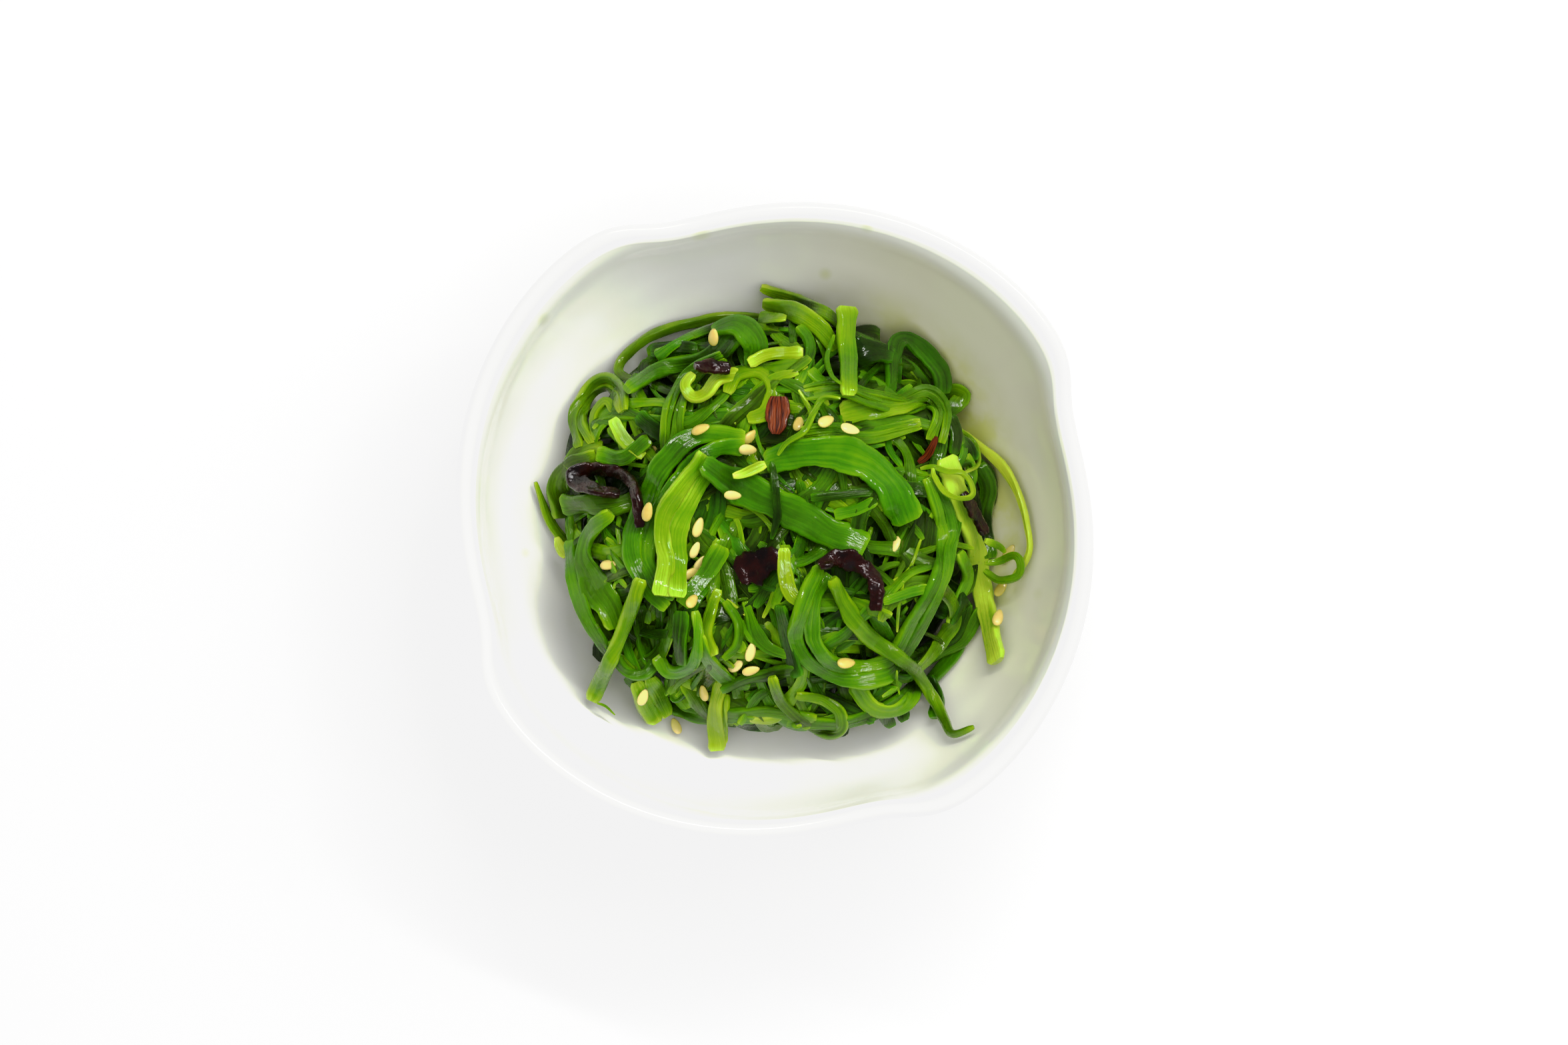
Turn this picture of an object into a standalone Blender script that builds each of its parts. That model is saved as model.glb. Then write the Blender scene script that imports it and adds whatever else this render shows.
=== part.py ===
"""Wakame salad in a small pinched porcelain bowl.

Lengths are in millimetres until build() scales them to metres. The bowl stands on its foot ring at z = 0,
+Z is up, +Y points to the top of the picture and the bowl's axis is the Z axis. The salad is a fused bed
of tangled strips on a small core. On it lie the strips, stems, wood ear, chilli and sesame that lie free,
each lowered until it rests on what is below it.
"""

import math
import random

import bmesh
import bpy
import numpy as np
from mathutils import Vector
from mathutils.bvhtree import BVHTree

MM = 0.001
GAP = 0.4
SEED = 7

# The bowl: its wall's outline as (radius, height), up the outside, over the lip and down to the floor. The
# lip's points are given from its base.
RIM_RADIUS = 54.4
RIM_HEIGHT = 44.0
FOOT_RADIUS = 22.5
FOOT_WIDTH = 3.5
FOOT_RECESS = 2.5
FOOT_SLOPE = 1.2
AROUND = 60
PINCHES = 4
PINCH_ANGLE = math.radians(25)
PINCH_DEPTH = 0.04
PINCH_SKEW = 0.62
PINCH_GROWTH = 1.5
RIM_WAVE = 0.9
PINCH_START = 12.0
OUTSIDE = ((24.5, 4.2), (35.5, 7.8), (43.6, 14.6), (48.7, 23.2), (51.9, 33.6))
INSIDE = ((50.2, 38.6), (48.9, 32.0), (45.6, 23.6), (40.4, 15.8), (32.4, 9.8), (20.0, 6.7))
FLOOR_HEIGHT = 6.0
LIP_BASE = (RIM_RADIUS - 1.25, RIM_HEIGHT - 2.2)
LIP = ((0.55, 0.0), (1.25, 0.75), (1.1, 1.7), (0.2, 2.2), (-1.1, 1.7), (-2.0, 0.3))

# The salad's core: where its edge meets the wall, and how high its crown stands.
CORE_EDGE_RADIUS = 33.0
CORE_EDGE_HEIGHT = 12.6
CORE_CROWN = 32.0
CORE_STEPS = 7
CORE_AROUND = 22
CORE_FULLNESS = 1.3
CORE_GAP = 0.6
CORE_MERGE = 0.05

# Height map of what has been laid so far: half its side, its cells, and a height above all of it in metres.
MAP_HALF = 56.0
CELL = 0.5
ABOVE = 0.2

# How a strip is laid: places along it, steepest bank, passes that stretch it over what it crosses, how many
# widths further on it counts as crossing itself, rounds of lowering, and smoothing of its bank and height.
STEP = 0.7
STEEPEST = math.radians(52)
SETTLING = 40
LAP = 2.4
ROUNDS = 3
BANK_SMOOTHING = 8
HEIGHT_SMOOTHING = 4
STIFFNESS = 3

# Its section in half widths and half thicknesses, and how far apart sections stand.
SECTION = np.array([(-1, 0), (-0.6, 1), (0.6, 1), (1, 0), (0.6, -1), (-0.6, -1)], float)
THICKEST_SHARE = 0.8
PITCH_SHARE = 0.75
PITCH_LIMITS = (1.8, 3.0)
SPLINE_SAMPLES = 24

# Strips that cover the core by rule, lowest first: how many, length, widths along them. Then how far out
# their middles and their ends go, and how far their headings and curls are drawn from even.
FILLERS = ((13, 27.0, (6.0, 9.0, 6.0)), (23, 25.0, (4.4, 5.4, 4.0)))
FILLER_REACH = 32.0
FILLER_LIMIT = 35.5
FILLER_SWING = 0.8
FILLER_CURL = 0.05

GREENS = {
    "dark": (0.030, 0.105, 0.012),
    "mid": (0.070, 0.230, 0.018),
    "light": (0.200, 0.430, 0.025),
    "olive": (0.150, 0.240, 0.015),
    "yellow": (0.420, 0.520, 0.030),
}
COLOURS = {
    "porcelain": ((0.86, 0.86, 0.85), 0.12),
    "wood_ear": ((0.030, 0.010, 0.010), 0.25),
    "chilli": ((0.280, 0.030, 0.012), 0.45),
    "sesame": ((0.640, 0.520, 0.230), 0.40),
}

# Strips of the bed that the eye picks out, lowest first: points seen from above, widths along it.
BED = (
    (((-21.5, 28.5), (-17, 29.6), (-11, 30.2), (-4, 30.5)), (3.4, 3.0)),
    (((13, 29.5), (17, 28.2), (22, 27.5), (27, 24.5)), (4.4, 5.2, 3.6)),
    (((-33.5, 12), (-29, 11.3), (-24, 12), (-18, 15)), (4.0, 3.2)),
    (((-24, 18.5), (-19, 17.8), (-13, 17), (-7, 18)), (3.6, 3.0)),
    (((-34, -9), (-31, -15.5), (-27, -21), (-22, -26)), (3.0, 3.8)),
    (((-9, -3), (-11.5, -8), (-14.5, -13), (-15.5, -20)), (3.6, 4.2, 3.0)),
    (((-8, -30), (-2, -31.2), (4, -31), (11, -31.5), (17, -32.5)), (3.0, 3.6)),
    (((22, -24), (27, -21.5), (31.5, -19.5), (34, -14)), (3.8, 3.4)),
    (((34.5, 10), (36.3, 6), (35.5, 1), (36.5, -6)), (3.0, 3.0)),
    (((5, 30), (5.6, 26), (4, 21.5), (6, 16)), (2.4, 2.8)),
    (((2, -12), (2.6, -18), (3.6, -23), (4.5, -28)), (3.2, 3.4)),
    (((17, -13.5), (22, -12), (27, -9), (30, -4)), (2.8, 3.2)),
    (((-16.5, -26.4), (-15.8, -29), (-14.6, -31.4)), (3.4, 5.0, 3.0)),
    (((17, -26), (19, -30), (21, -33.8)), (3.6, 4.4, 3.4)),
    (((6, 5), (11, 4.6), (17, 5.4)), (2.6, 2.6)),
    (((9, 0), (13.4, 1.8), (18, 3.8)), (2.6, 3.0)),
    (((1.4, -4), (1.8, -9), (3, -12.6), (6.6, -13.8)), (2.6, 2.8)),
    (((-27.6, 16.4), (-25.2, 13.8), (-22.4, 11.2)), (2.6, 2.6)),
)
BED_THICKNESS = 2.2
BED_SINK = 1.1

# Free strips, lowest first: name, shade, points seen from above, widths along it, thickness.
STRIPS = (
    ("wall_loop", "olive", ((8, 33.2), (2, 34.4), (-6, 35.2), (-13, 34.4), (-20.4, 32.2), (-25.2, 28.6),
     (-26.6, 26), (-25, 24.4), (-21.8, 23.4)), (1.5, 1.9, 1.6), 1.5),
    ("wall_sprig", "light", ((-40.6, 7), (-39.4, 3.4), (-38, 0), (-35.6, -3.4)), (0.8, 1.5, 2.4), 1.0),
    ("right_thread", "yellow", ((32, 15.6), (35.6, 12.6), (38.8, 9.4), (41.2, 5), (42.6, 0), (43, -5),
     (40.4, -9.4)), (1.0, 2.0, 1.2, 1.0), 1.0),
    ("left_curl", "olive", ((-32, 13), (-33, 18), (-31.5, 22.4), (-28.6, 24), (-26.2, 22), (-25.4, 18.6)),
     (3.2, 3.0, 2.4), 1.5),
    ("top_blade_long", "olive", ((-2.4, 40), (3, 38.2), (8, 35.6), (12.4, 32)), (1.6, 2.4, 2.2), 1.4),
    ("top_blade_broad", "light", ((-2, 37.4), (3, 35.8), (7.4, 33), (10.4, 29)), (2.8, 3.2, 2.8), 1.4),
    ("right_fold", "dark", ((19.5, 22), (19.8, 28), (21.5, 31), (25, 29.5), (28, 25.6), (28.6, 22)),
     (2.2, 3.2, 3.6), 1.5),
    ("left_leaf", "olive", ((-36.6, 0.8), (-36.8, 5.5), (-34, 9.4), (-30, 11.5)), (3.6, 4.2, 3.4), 1.5),
    ("left_stub", "olive", ((-36, 3), (-32, 3.2), (-27, 2.6), (-22.5, 4)), (4.2, 3.8, 3.0), 1.8),
    ("left_ribbon", "mid", ((-27.5, 1.6), (-31, -2), (-32.2, -6), (-30.6, -10), (-28, -14), (-26.8, -18)),
     (2.6, 2.8, 5.6, 3.6), 1.5),
    ("foot_leaf", "light", ((-22.5, -26.5), (-21, -30), (-19.2, -33.4)), (4.6, 5.0, 3.6), 1.8),
    ("hanging_arc", "mid", ((-28, -20), (-25.2, -24.8), (-21.8, -25.6), (-19.6, -22), (-19, -17),
     (-19.3, -12)), (1.8, 2.0, 1.9), 1.5),
    ("shiny_arc", "light", ((-20, -22.6), (-17.6, -25.2), (-14, -24), (-12.6, -20), (-13.4, -15)),
     (2.4, 2.2, 1.6), 1.5),
    ("bottom_stem", "yellow", ((-9, -26), (-9.8, -31), (-10, -35), (-9.8, -38.6)), (2.4, 2.8, 3.4), 1.7),
    ("rolled_strip", "dark", ((4, -24.5), (-1, -25.6), (-5, -26.4), (-9, -28.4)), (2.2, 2.4, 1.4), 1.5),
    ("bottom_loop", "olive", ((-0.5, -26), (1.2, -30.4), (5, -33.6), (9, -35.6), (11.2, -34.6),
     (10.8, -31.8), (8, -30), (3.5, -29)), (1.8, 2.2, 2.0, 1.6), 1.5),
    ("lower_scoop", "light", ((13.5, -27), (16.5, -31), (20.4, -31.4), (23.6, -28.4), (23.4, -24)),
     (3.4, 3.0, 2.4), 1.5),
    ("belt_low", "light", ((4.5, 14.6), (10, 15.2), (15.5, 14.4), (20.4, 15.6), (24.6, 16.6)),
     (2.2, 3.0, 2.0), 1.5),
    ("belt_high", "light", ((5, 21.4), (10.5, 22.2), (16, 20.8), (21.5, 20), (26, 21.4), (28, 18.2),
     (27, 13.6)), (2.6, 4.4, 4.0, 3.4), 1.6),
    ("upright_stem", "light", ((12.1, 36.4), (11.9, 31.6), (12.3, 27), (12.2, 21)), (3.9, 3.4, 3.0), 1.8),
    ("long_strip", "mid", ((-24.8, 22.2), (-20.4, 25.2), (-16, 27), (-11, 27.8), (-6, 31.6)),
     (2.6, 3.0, 4.4), 1.6),
    ("crown_leaf", "mid", ((-10.5, 32), (-6.5, 33), (-3.4, 30), (-3.6, 25.4)), (3.4, 5.4, 4.2), 1.5),
    ("left_bundle", "light", ((-8.6, 27.8), (-12.6, 25.8), (-15.6, 22), (-17.2, 17.6), (-17.8, 12),
     (-18.6, 7)), (2.6, 3.4, 3.6, 2.6), 1.7),
    ("bright_fall", "yellow", ((28.6, 11), (30.2, 6.4), (32.2, 1), (34, -5), (35.2, -11), (36.4, -17),
     (37.6, -23.4)), (4.6, 4.4, 3.8, 3.6, 4.2), 1.7),
    ("big_loop", "light", ((26, 7.6), (28.4, 1), (28.6, -5), (26.6, -12), (22.6, -19.4), (17, -25),
     (11.6, -25.8), (7, -23), (5, -17.6), (6, -12), (8.4, -8.4)), (3.0, 3.6, 4.4, 4.6, 4.4, 4.0), 1.7),
    ("shoulder_outer", "mid", ((-5, 13.6), (-10, 13.6), (-15, 10.6), (-19, 5), (-21.6, -1), (-22.6, -6.4),
     (-20.6, -11), (-17.4, -13.8)), (4.8, 6.0, 6.2, 4.0), 1.7),
    ("arch_ribbon", "mid", ((-1.5, 9.6), (4, 11.4), (10, 11.6), (15.6, 9.4), (19.6, 5.4), (22.6, 0)),
     (4.2, 5.8, 6.4, 5.8), 1.7),
    ("shoulder_inner", "light", ((-11.4, 11), (-14.6, 6.4), (-16.8, 0), (-17, -6), (-17.6, -12.6)),
     (4.6, 5.0, 5.4), 1.7),
    ("diagonal", "light", ((-12, 9.6), (-8.4, 7), (-3, 4.6), (3, 1.6), (9, -1.6), (15.2, -4.6)),
     (4.4, 6.0, 5.6, 5.2), 1.8),
    ("tail_stem", "olive", ((9.6, -9.6), (12.4, -15), (16, -19.4), (20, -22.2), (24, -25.4), (27, -30),
     (28.6, -33.4), (30, -35.6), (33.4, -34.4)), (2.4, 3.2, 2.8, 2.4, 1.8, 0.9), 1.4),
    ("left_stem", "mid", ((-22.4, -9.6), (-24.2, -15), (-26.8, -21.4), (-29, -26), (-31, -30.2)),
     (2.4, 2.6, 2.6), 1.7),
    ("yellow_strip", "yellow", ((-4.4, 26.6), (-1, 28.2), (4.8, 28.4)), (2.0, 2.2, 2.2), 1.4),
    ("yellow_curl", "yellow", ((-6, 24.6), (-9.4, 24), (-11.6, 21.4), (-13.8, 20.8), (-15, 22.8),
     (-13.6, 24.8)), (3.4, 2.2, 1.6), 1.4),
)

# Wood ear and chilli: name, points seen from above, widths along it, thickness.
WOOD_EAR = (
    ("hooked", ((-26, 4.6), (-30.4, 5.4), (-33.4, 7.4), (-31.4, 9), (-27.4, 8.7), (-24.6, 7.4),
     (-23, 3.6), (-22.6, -1)), (1.8, 3.4, 3.0, 2.0, 1.7), 1.4),
    ("flake", ((-6.2, -9.2), (-3, -7.6), (1, -6)), (4.4, 7.2, 4.6), 1.3),
    ("crumpled", ((7.4, -7.6), (11, -6.2), (14.6, -7.6), (17, -10.4), (17, -15)), (2.4, 3.2, 3.0, 2.2),
     1.5),
    ("tuft", ((-13.4, 26), (-10.6, 26), (-7.4, 25.4)), (1.8, 2.8, 1.8), 1.4),
    ("side", ((31.6, 5), (33.6, 1.6), (35.6, -2)), (1.8, 2.4, 2.0), 1.4),
)

CHILLI = (
    ("flake", ((0.2, 14.6), (0.5, 17.6), (0.7, 21)), (1.8, 4.6, 4.4), 0.9),
    ("sliver", ((24.2, 10), (25.8, 11.4), (27.2, 14.4)), (1.2, 1.5, 0.8), 0.9),
)

# Sesame: its size, how much it narrows to its point, its steepest lie and its faces. Then each seed's middle
# seen from above and its heading in degrees.
SESAME_LENGTH = 3.4
SESAME_WIDTH = 2.25
SESAME_THICKNESS = 1.1
SESAME_POINT = 0.34
SESAME_STEEPEST = 0.6
SESAME_AROUND = 8
SESAME_RINGS = 4
SESAME = (
    (-10.2, 31, 70), (-12.4, 15.4, 5), (-21.2, 1.6, 70), (-7, 4.2, -15), (8.6, 16.8, 35), (12.6, 15.4, 0),
    (20.3, -3.7, 75), (-27.9, -7.3, -15), (-13.3, -4.8, 80), (-13.7, -13.3, 50), (-6.6, -24.1, 35),
    (-4, -21.8, 80), (-0.6, -21.4, -25), (-12, -28.8, 85), (-16.8, -34.4, 100), (12, -23.6, 20),
    (38.4, -11, 60), (37.8, -16, 75),
)


def material(name, colour, roughness):
    made = bpy.data.materials.new(name)
    made.use_nodes = True
    shader = made.node_tree.nodes["Principled BSDF"]
    shader.inputs["Base Color"].default_value = (*colour, 1)
    shader.inputs["Roughness"].default_value = roughness
    return made


def mesh_object(name, points, faces, finish, collection):
    """A closed mesh from points in millimetres, joined and with its faces pointing out."""
    mesh = bpy.data.meshes.new(name)
    mesh.from_pydata([Vector(p) * MM for p in points], [], faces)
    shaped = bmesh.new()
    shaped.from_mesh(mesh)
    bmesh.ops.recalc_face_normals(shaped, faces=shaped.faces)
    shaped.to_mesh(mesh)
    shaped.free()
    mesh.shade_smooth()
    mesh.set_sharp_from_angle(angle=math.radians(50))
    mesh.materials.append(finish)
    made = bpy.data.objects.new(name, mesh)
    collection.objects.link(made)
    return made


def pinch(angle):
    """The rim's swirl, from -1 in a notch to 1 on a bump: a sine that rises fast and falls slowly."""
    turn = PINCHES * (angle - PINCH_ANGLE)
    steep = math.atan2(PINCH_SKEW * math.sin(turn), 1 - PINCH_SKEW * math.cos(turn))
    return steep / math.asin(PINCH_SKEW)


def pinched(radius, height, angle):
    """A point of the wall: the pinch grows from the foot to the rim."""
    share = max(0.0, (height - PINCH_START) / (RIM_HEIGHT - PINCH_START)) ** PINCH_GROWTH
    wave = pinch(angle) * share
    reach = radius * (1 + PINCH_DEPTH * wave)
    return reach * math.cos(angle), reach * math.sin(angle), height + RIM_WAVE * wave


def bowl_profile():
    """Half sections (radius, height) from beside the axis underneath to beside the axis on the floor."""
    foot_inside = FOOT_RADIUS - FOOT_WIDTH
    foot = [(foot_inside - FOOT_SLOPE, FOOT_RECESS), (foot_inside, 0.0), (FOOT_RADIUS, 0.0)]
    lip = [(LIP_BASE[0] + across, LIP_BASE[1] + up) for across, up in LIP]
    return foot + list(OUTSIDE) + lip + list(INSIDE)


def make_bowl(finish, collection):
    rings = bowl_profile()
    points = []
    for radius, height in rings:
        for step in range(AROUND):
            points.append(pinched(radius, height, math.tau * step / AROUND))
    faces = []
    for ring in range(len(rings) - 1):
        for step in range(AROUND):
            beside = (step + 1) % AROUND
            low = ring * AROUND
            faces.append((low + step, low + beside, low + AROUND + beside, low + AROUND + step))
    under, floor = len(points), len(points) + 1
    points += [(0, 0, FOOT_RECESS), (0, 0, FLOOR_HEIGHT)]
    last = (len(rings) - 1) * AROUND
    for step in range(AROUND):
        beside = (step + 1) % AROUND
        faces.append((under, beside, step))
        faces.append((floor, last + step, last + beside))
    return mesh_object("bowl", points, faces, finish, collection)


class HeightMap:
    """How high the things laid so far reach, on a grid seen from above."""

    def __init__(self):
        self.side = int(2 * MAP_HALF / CELL) + 1
        self.height = np.zeros((self.side, self.side))
        self.wide = self.height

    def add(self, made):
        """Looks down on an object and keeps its height where it is the highest."""
        graph = bpy.context.evaluated_depsgraph_get()
        tree = BVHTree.FromObject(made, graph)
        corners = np.array([corner[:] for corner in made.bound_box]) / MM
        low = np.floor((corners.min(0)[:2] + MAP_HALF) / CELL).astype(int)
        high = np.ceil((corners.max(0)[:2] + MAP_HALF) / CELL).astype(int)
        down = Vector((0, 0, -1))
        for i in range(max(low[0], 0), min(high[0], self.side - 1) + 1):
            for j in range(max(low[1], 0), min(high[1], self.side - 1) + 1):
                above = Vector(((i * CELL - MAP_HALF) * MM, (j * CELL - MAP_HALF) * MM, ABOVE))
                hit = tree.ray_cast(above, down)[0]
                if hit is not None:
                    self.height[i, j] = max(self.height[i, j], hit.z / MM)
        self.widen()

    def widen(self):
        """Each cell takes its neighbours' greatest height, so that nothing between cells is missed."""
        padded = np.pad(self.height, 1, mode="edge")
        size = self.side
        shifted = [padded[i:i + size, j:j + size] for i in range(3) for j in range(3)]
        self.wide = np.max(shifted, axis=0)

    def at(self, places):
        cells = np.rint((places + MAP_HALF) / CELL).astype(int)
        cells = np.clip(cells, 0, self.side - 1)
        return self.wide[cells[..., 0], cells[..., 1]]


def spline(points, step):
    """Evenly spaced places on a smooth curve through the points."""
    points = np.array(points, float)
    ends = np.vstack([2 * points[:1] - points[1:2], points, 2 * points[-1:] - points[-2:-1]])
    fine = []
    for i in range(1, len(ends) - 2):
        a, b, c, d = ends[i - 1:i + 3]
        for t in np.linspace(0, 1, SPLINE_SAMPLES, endpoint=False):
            fine.append(0.5 * (2 * b + (c - a) * t + (2 * a - 5 * b + 4 * c - d) * t**2
                               + (3 * b - a - 3 * c + d) * t**3))
    fine = np.array([*fine, ends[-2]])
    run = np.concatenate([[0], np.cumsum(np.linalg.norm(np.diff(fine, axis=0), axis=1))])
    places = np.linspace(0, run[-1], max(4, round(run[-1] / step) + 1))
    return np.column_stack([np.interp(places, run, fine[:, k]) for k in (0, 1)]), places


def along(values, count):
    """The given values spread evenly along a strip, with straight runs between them."""
    return np.interp(np.linspace(0, 1, count), np.linspace(0, 1, len(values)), values)


def smoothed(values, times):
    for _ in range(times):
        padded = np.concatenate([values[:1], values, values[-1:]])
        values = (padded[:-2] + 2 * padded[1:-1] + padded[2:]) / 4
    return values


def frames(path, bank):
    """Across and up vectors of each section of a path, turned by the bank about the path."""
    forward = np.gradient(path, axis=0)
    forward /= np.linalg.norm(forward, axis=1)[:, None]
    across = np.cross(forward, (0, 0, 1))
    across /= np.linalg.norm(across, axis=1)[:, None]
    up = np.cross(across, forward)
    turn, rise = np.cos(bank)[:, None], np.sin(bank)[:, None]
    return across * turn + up * rise, up * turn - across * rise


def sections(path, widths, thickness, bank):
    """Points of every section of a strip, as an array of sections by points by three."""
    across, up = frames(path, bank)
    half = SECTION[None, :, 0] * widths[:, None] / 2
    rise = SECTION[None, :, 1] * np.minimum(thickness, THICKEST_SHARE * widths)[:, None] / 2
    sideways = across[:, None, :] * half[..., None]
    return path[:, None, :] + sideways + up[:, None, :] * rise[..., None]


def laid(points, widths, thickness, rests):
    """Lowers a strip onto what is below: rests are (height map, gap) pairs.

    Gives its path, the least height that clears what is below, its widths and its bank."""
    flat, run = spline(points, STEP)
    widths = along(widths, len(flat))
    level = np.column_stack([flat, np.zeros(len(flat))])
    across, _ = frames(level, np.zeros(len(flat)))
    edge = across[:, :2] * widths[:, None] / 2
    ground = np.max([rest.at(flat) + gap for rest, gap in rests], axis=0)
    lean = rests[-1][0].at(flat + edge) - rests[-1][0].at(flat - edge)
    bank = smoothed(np.clip(np.arctan(lean / widths), -STEEPEST, STEEPEST), BANK_SMOOTHING)
    height = smoothed(ground + thickness, HEIGHT_SMOOTHING)
    apart = np.linalg.norm(flat[:, None] - flat[None], axis=2)
    later = run[None, :] - run[:, None] > LAP * widths.mean()
    crossing = later & (apart < widths.mean())
    for _ in range(ROUNDS):
        path = np.column_stack([flat, height])
        ring = sections(path, widths, thickness, bank)
        drop = ring[..., 2] - height[:, None]
        need = np.max([rest.at(ring[..., :2]) + gap - drop for rest, gap in rests], axis=0).max(axis=1)
        over = np.where(crossing, height[:, None] + thickness + GAP, -np.inf).max(axis=0)
        least = np.maximum(need, over)
        height = least.copy()
        for _ in range(SETTLING):
            height = np.maximum(least, smoothed(height, 1))
        short = np.maximum(0, least - smoothed(height, STIFFNESS))
        spread = np.maximum.reduce([np.roll(short, k) for k in (-2, -1, 0, 1, 2)])
        height = smoothed(height, STIFFNESS) + smoothed(spread, 2)
    return np.column_stack([flat, height]), least, widths, bank


def cleared(height, least, chosen):
    """Raises the chosen sections until the straight runs between them clear what is below too."""
    height = height.copy()
    places = np.arange(len(height))
    for _ in range(ROUNDS):
        short = least - np.interp(places, chosen, height[chosen])
        for start, end in zip(chosen[:-1], chosen[1:]):
            lift = max(0.0, short[start:end + 1].max())
            height[[start, end]] += lift
    return height


def strip(name, points, widths, thickness, rests, finish, collection):
    """A strip of even thickness with square cut ends, lofted through its sections."""
    path, least, widths, bank = laid(points, widths, thickness, rests)
    pitch = np.clip(PITCH_SHARE * widths.mean(), *PITCH_LIMITS)
    count = max(4, round(len(path) * STEP / pitch))
    chosen = np.rint(np.linspace(0, len(path) - 1, count)).astype(int)
    path[:, 2] = cleared(path[:, 2], least, chosen)
    ring = sections(path, widths, thickness, bank)[chosen]
    sides = ring.shape[1]
    corners = ring.reshape(-1, 3)
    faces = [tuple(range(sides))[::-1], tuple(range((count - 1) * sides, count * sides))]
    for i in range(count - 1):
        for j in range(sides):
            beside = (j + 1) % sides
            near, far = i * sides, (i + 1) * sides
            faces.append((near + j, near + beside, far + beside, far + j))
    return mesh_object(name, corners.tolist(), faces, finish, collection)


def make_core(finish, collection):
    """The small core of the bed, turned round the axis: a dome over an underside that follows the floor."""
    under = [(radius, height + CORE_GAP) for radius, height in INSIDE if radius < CORE_EDGE_RADIUS]
    edge = [(CORE_EDGE_RADIUS, CORE_EDGE_HEIGHT)]
    dome = []
    for step in range(1, CORE_STEPS):
        turn = math.pi / 2 * step / CORE_STEPS
        rise = (CORE_CROWN - CORE_EDGE_HEIGHT) * math.sin(turn) ** CORE_FULLNESS
        dome.append((CORE_EDGE_RADIUS * math.cos(turn), CORE_EDGE_HEIGHT + rise))
    profile = [(0, CORE_CROWN)] + dome[::-1] + edge + under + [(0, FLOOR_HEIGHT + CORE_GAP)]
    mesh = bpy.data.meshes.new("core")
    edges = [(i, i + 1) for i in range(len(profile) - 1)]
    mesh.from_pydata([(radius * MM, 0, height * MM) for radius, height in profile], edges, [])
    mesh.materials.append(finish)
    core = bpy.data.objects.new("core", mesh)
    collection.objects.link(core)
    turned = core.modifiers.new("turned", "SCREW")
    turned.steps = turned.render_steps = CORE_AROUND
    turned.use_merge_vertices = True
    turned.merge_threshold = CORE_MERGE * MM
    return core


def filler_route(rng, number, count, length):
    """A bent strip on the core: the middles are spread by the golden angle, and the headings are drawn."""
    turn = number * math.pi * (3 - math.sqrt(5))
    reach = FILLER_REACH * math.sqrt(number / count)
    middle = np.array([reach * math.cos(turn), reach * math.sin(turn)])
    heading = turn + math.pi / 2 + rng.uniform(-FILLER_SWING, FILLER_SWING)
    curl = rng.uniform(-FILLER_CURL, FILLER_CURL)
    route = []
    for run in (-0.5, -0.25, 0, 0.25, 0.5):
        bearing = heading + curl * run * length
        place = middle + run * length * np.array([math.cos(bearing), math.sin(bearing)])
        route.append(tuple(place / max(1.0, np.linalg.norm(place) / FILLER_LIMIT)))
    return route


def signed_volume(faces):
    """Six times the volume inside triangles: a hollow, whose faces point in, counts as negative."""
    corners = [[vertex.co for vertex in face.verts] for face in faces]
    return sum(a.dot(b.cross(c)) for a, b, c in corners)


def keep_outer_skin(mesh):
    """Fills the hollows that joining sealed, and drops loose scraps: only the largest skin stays."""
    shaped = bmesh.new()
    shaped.from_mesh(mesh)
    bmesh.ops.triangulate(shaped, faces=shaped.faces)
    waiting = set(shaped.faces)
    skins = []
    while waiting:
        skin = {waiting.pop()}
        edge_on = list(skin)
        while edge_on:
            face = edge_on.pop()
            sound = [edge for edge in face.edges if edge.is_manifold]
            beside = {other for edge in sound for other in edge.link_faces} & waiting
            waiting -= beside
            skin |= beside
            edge_on += beside
        skins.append(skin)
    largest = max(skins, key=signed_volume)
    bmesh.ops.delete(shaped, geom=[face for face in shaped.faces if face not in largest], context="FACES")
    shaped.to_mesh(mesh)
    shaped.free()


def make_bed(bowl_map, finish, collection):
    """The bed: core and strips in one body, with the strips standing out of the core and of each other."""
    rng = random.Random(SEED)
    core = make_core(finish, collection)
    bpy.context.view_layer.update()
    bed_map = HeightMap()
    bed_map.add(core)
    joined = bpy.data.collections.new("bed strips")
    bpy.context.scene.collection.children.link(joined)
    routes = []
    for count, length, widths in FILLERS:
        routes += [(filler_route(rng, number, count, length), widths) for number in range(count)]
    rests = ((bowl_map, GAP), (bed_map, -BED_SINK))
    for number, (route, widths) in enumerate(routes + list(BED)):
        made = strip(f"bed_strip_{number}", route, widths, BED_THICKNESS, rests, finish, joined)
        bpy.context.view_layer.update()
        bed_map.add(made)
    union = core.modifiers.new("joined", "BOOLEAN")
    union.operation = "UNION"
    union.operand_type = "COLLECTION"
    union.collection = joined
    union.solver = "MANIFOLD"
    bpy.context.view_layer.update()
    graph = bpy.context.evaluated_depsgraph_get()
    fused = bpy.data.meshes.new_from_object(core.evaluated_get(graph))
    for helper in [core, *joined.objects]:
        bpy.data.objects.remove(helper)
    bpy.data.collections.remove(joined)
    keep_outer_skin(fused)
    bed = bpy.data.objects.new("wakame_bed", fused)
    collection.objects.link(bed)
    return bed


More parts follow.
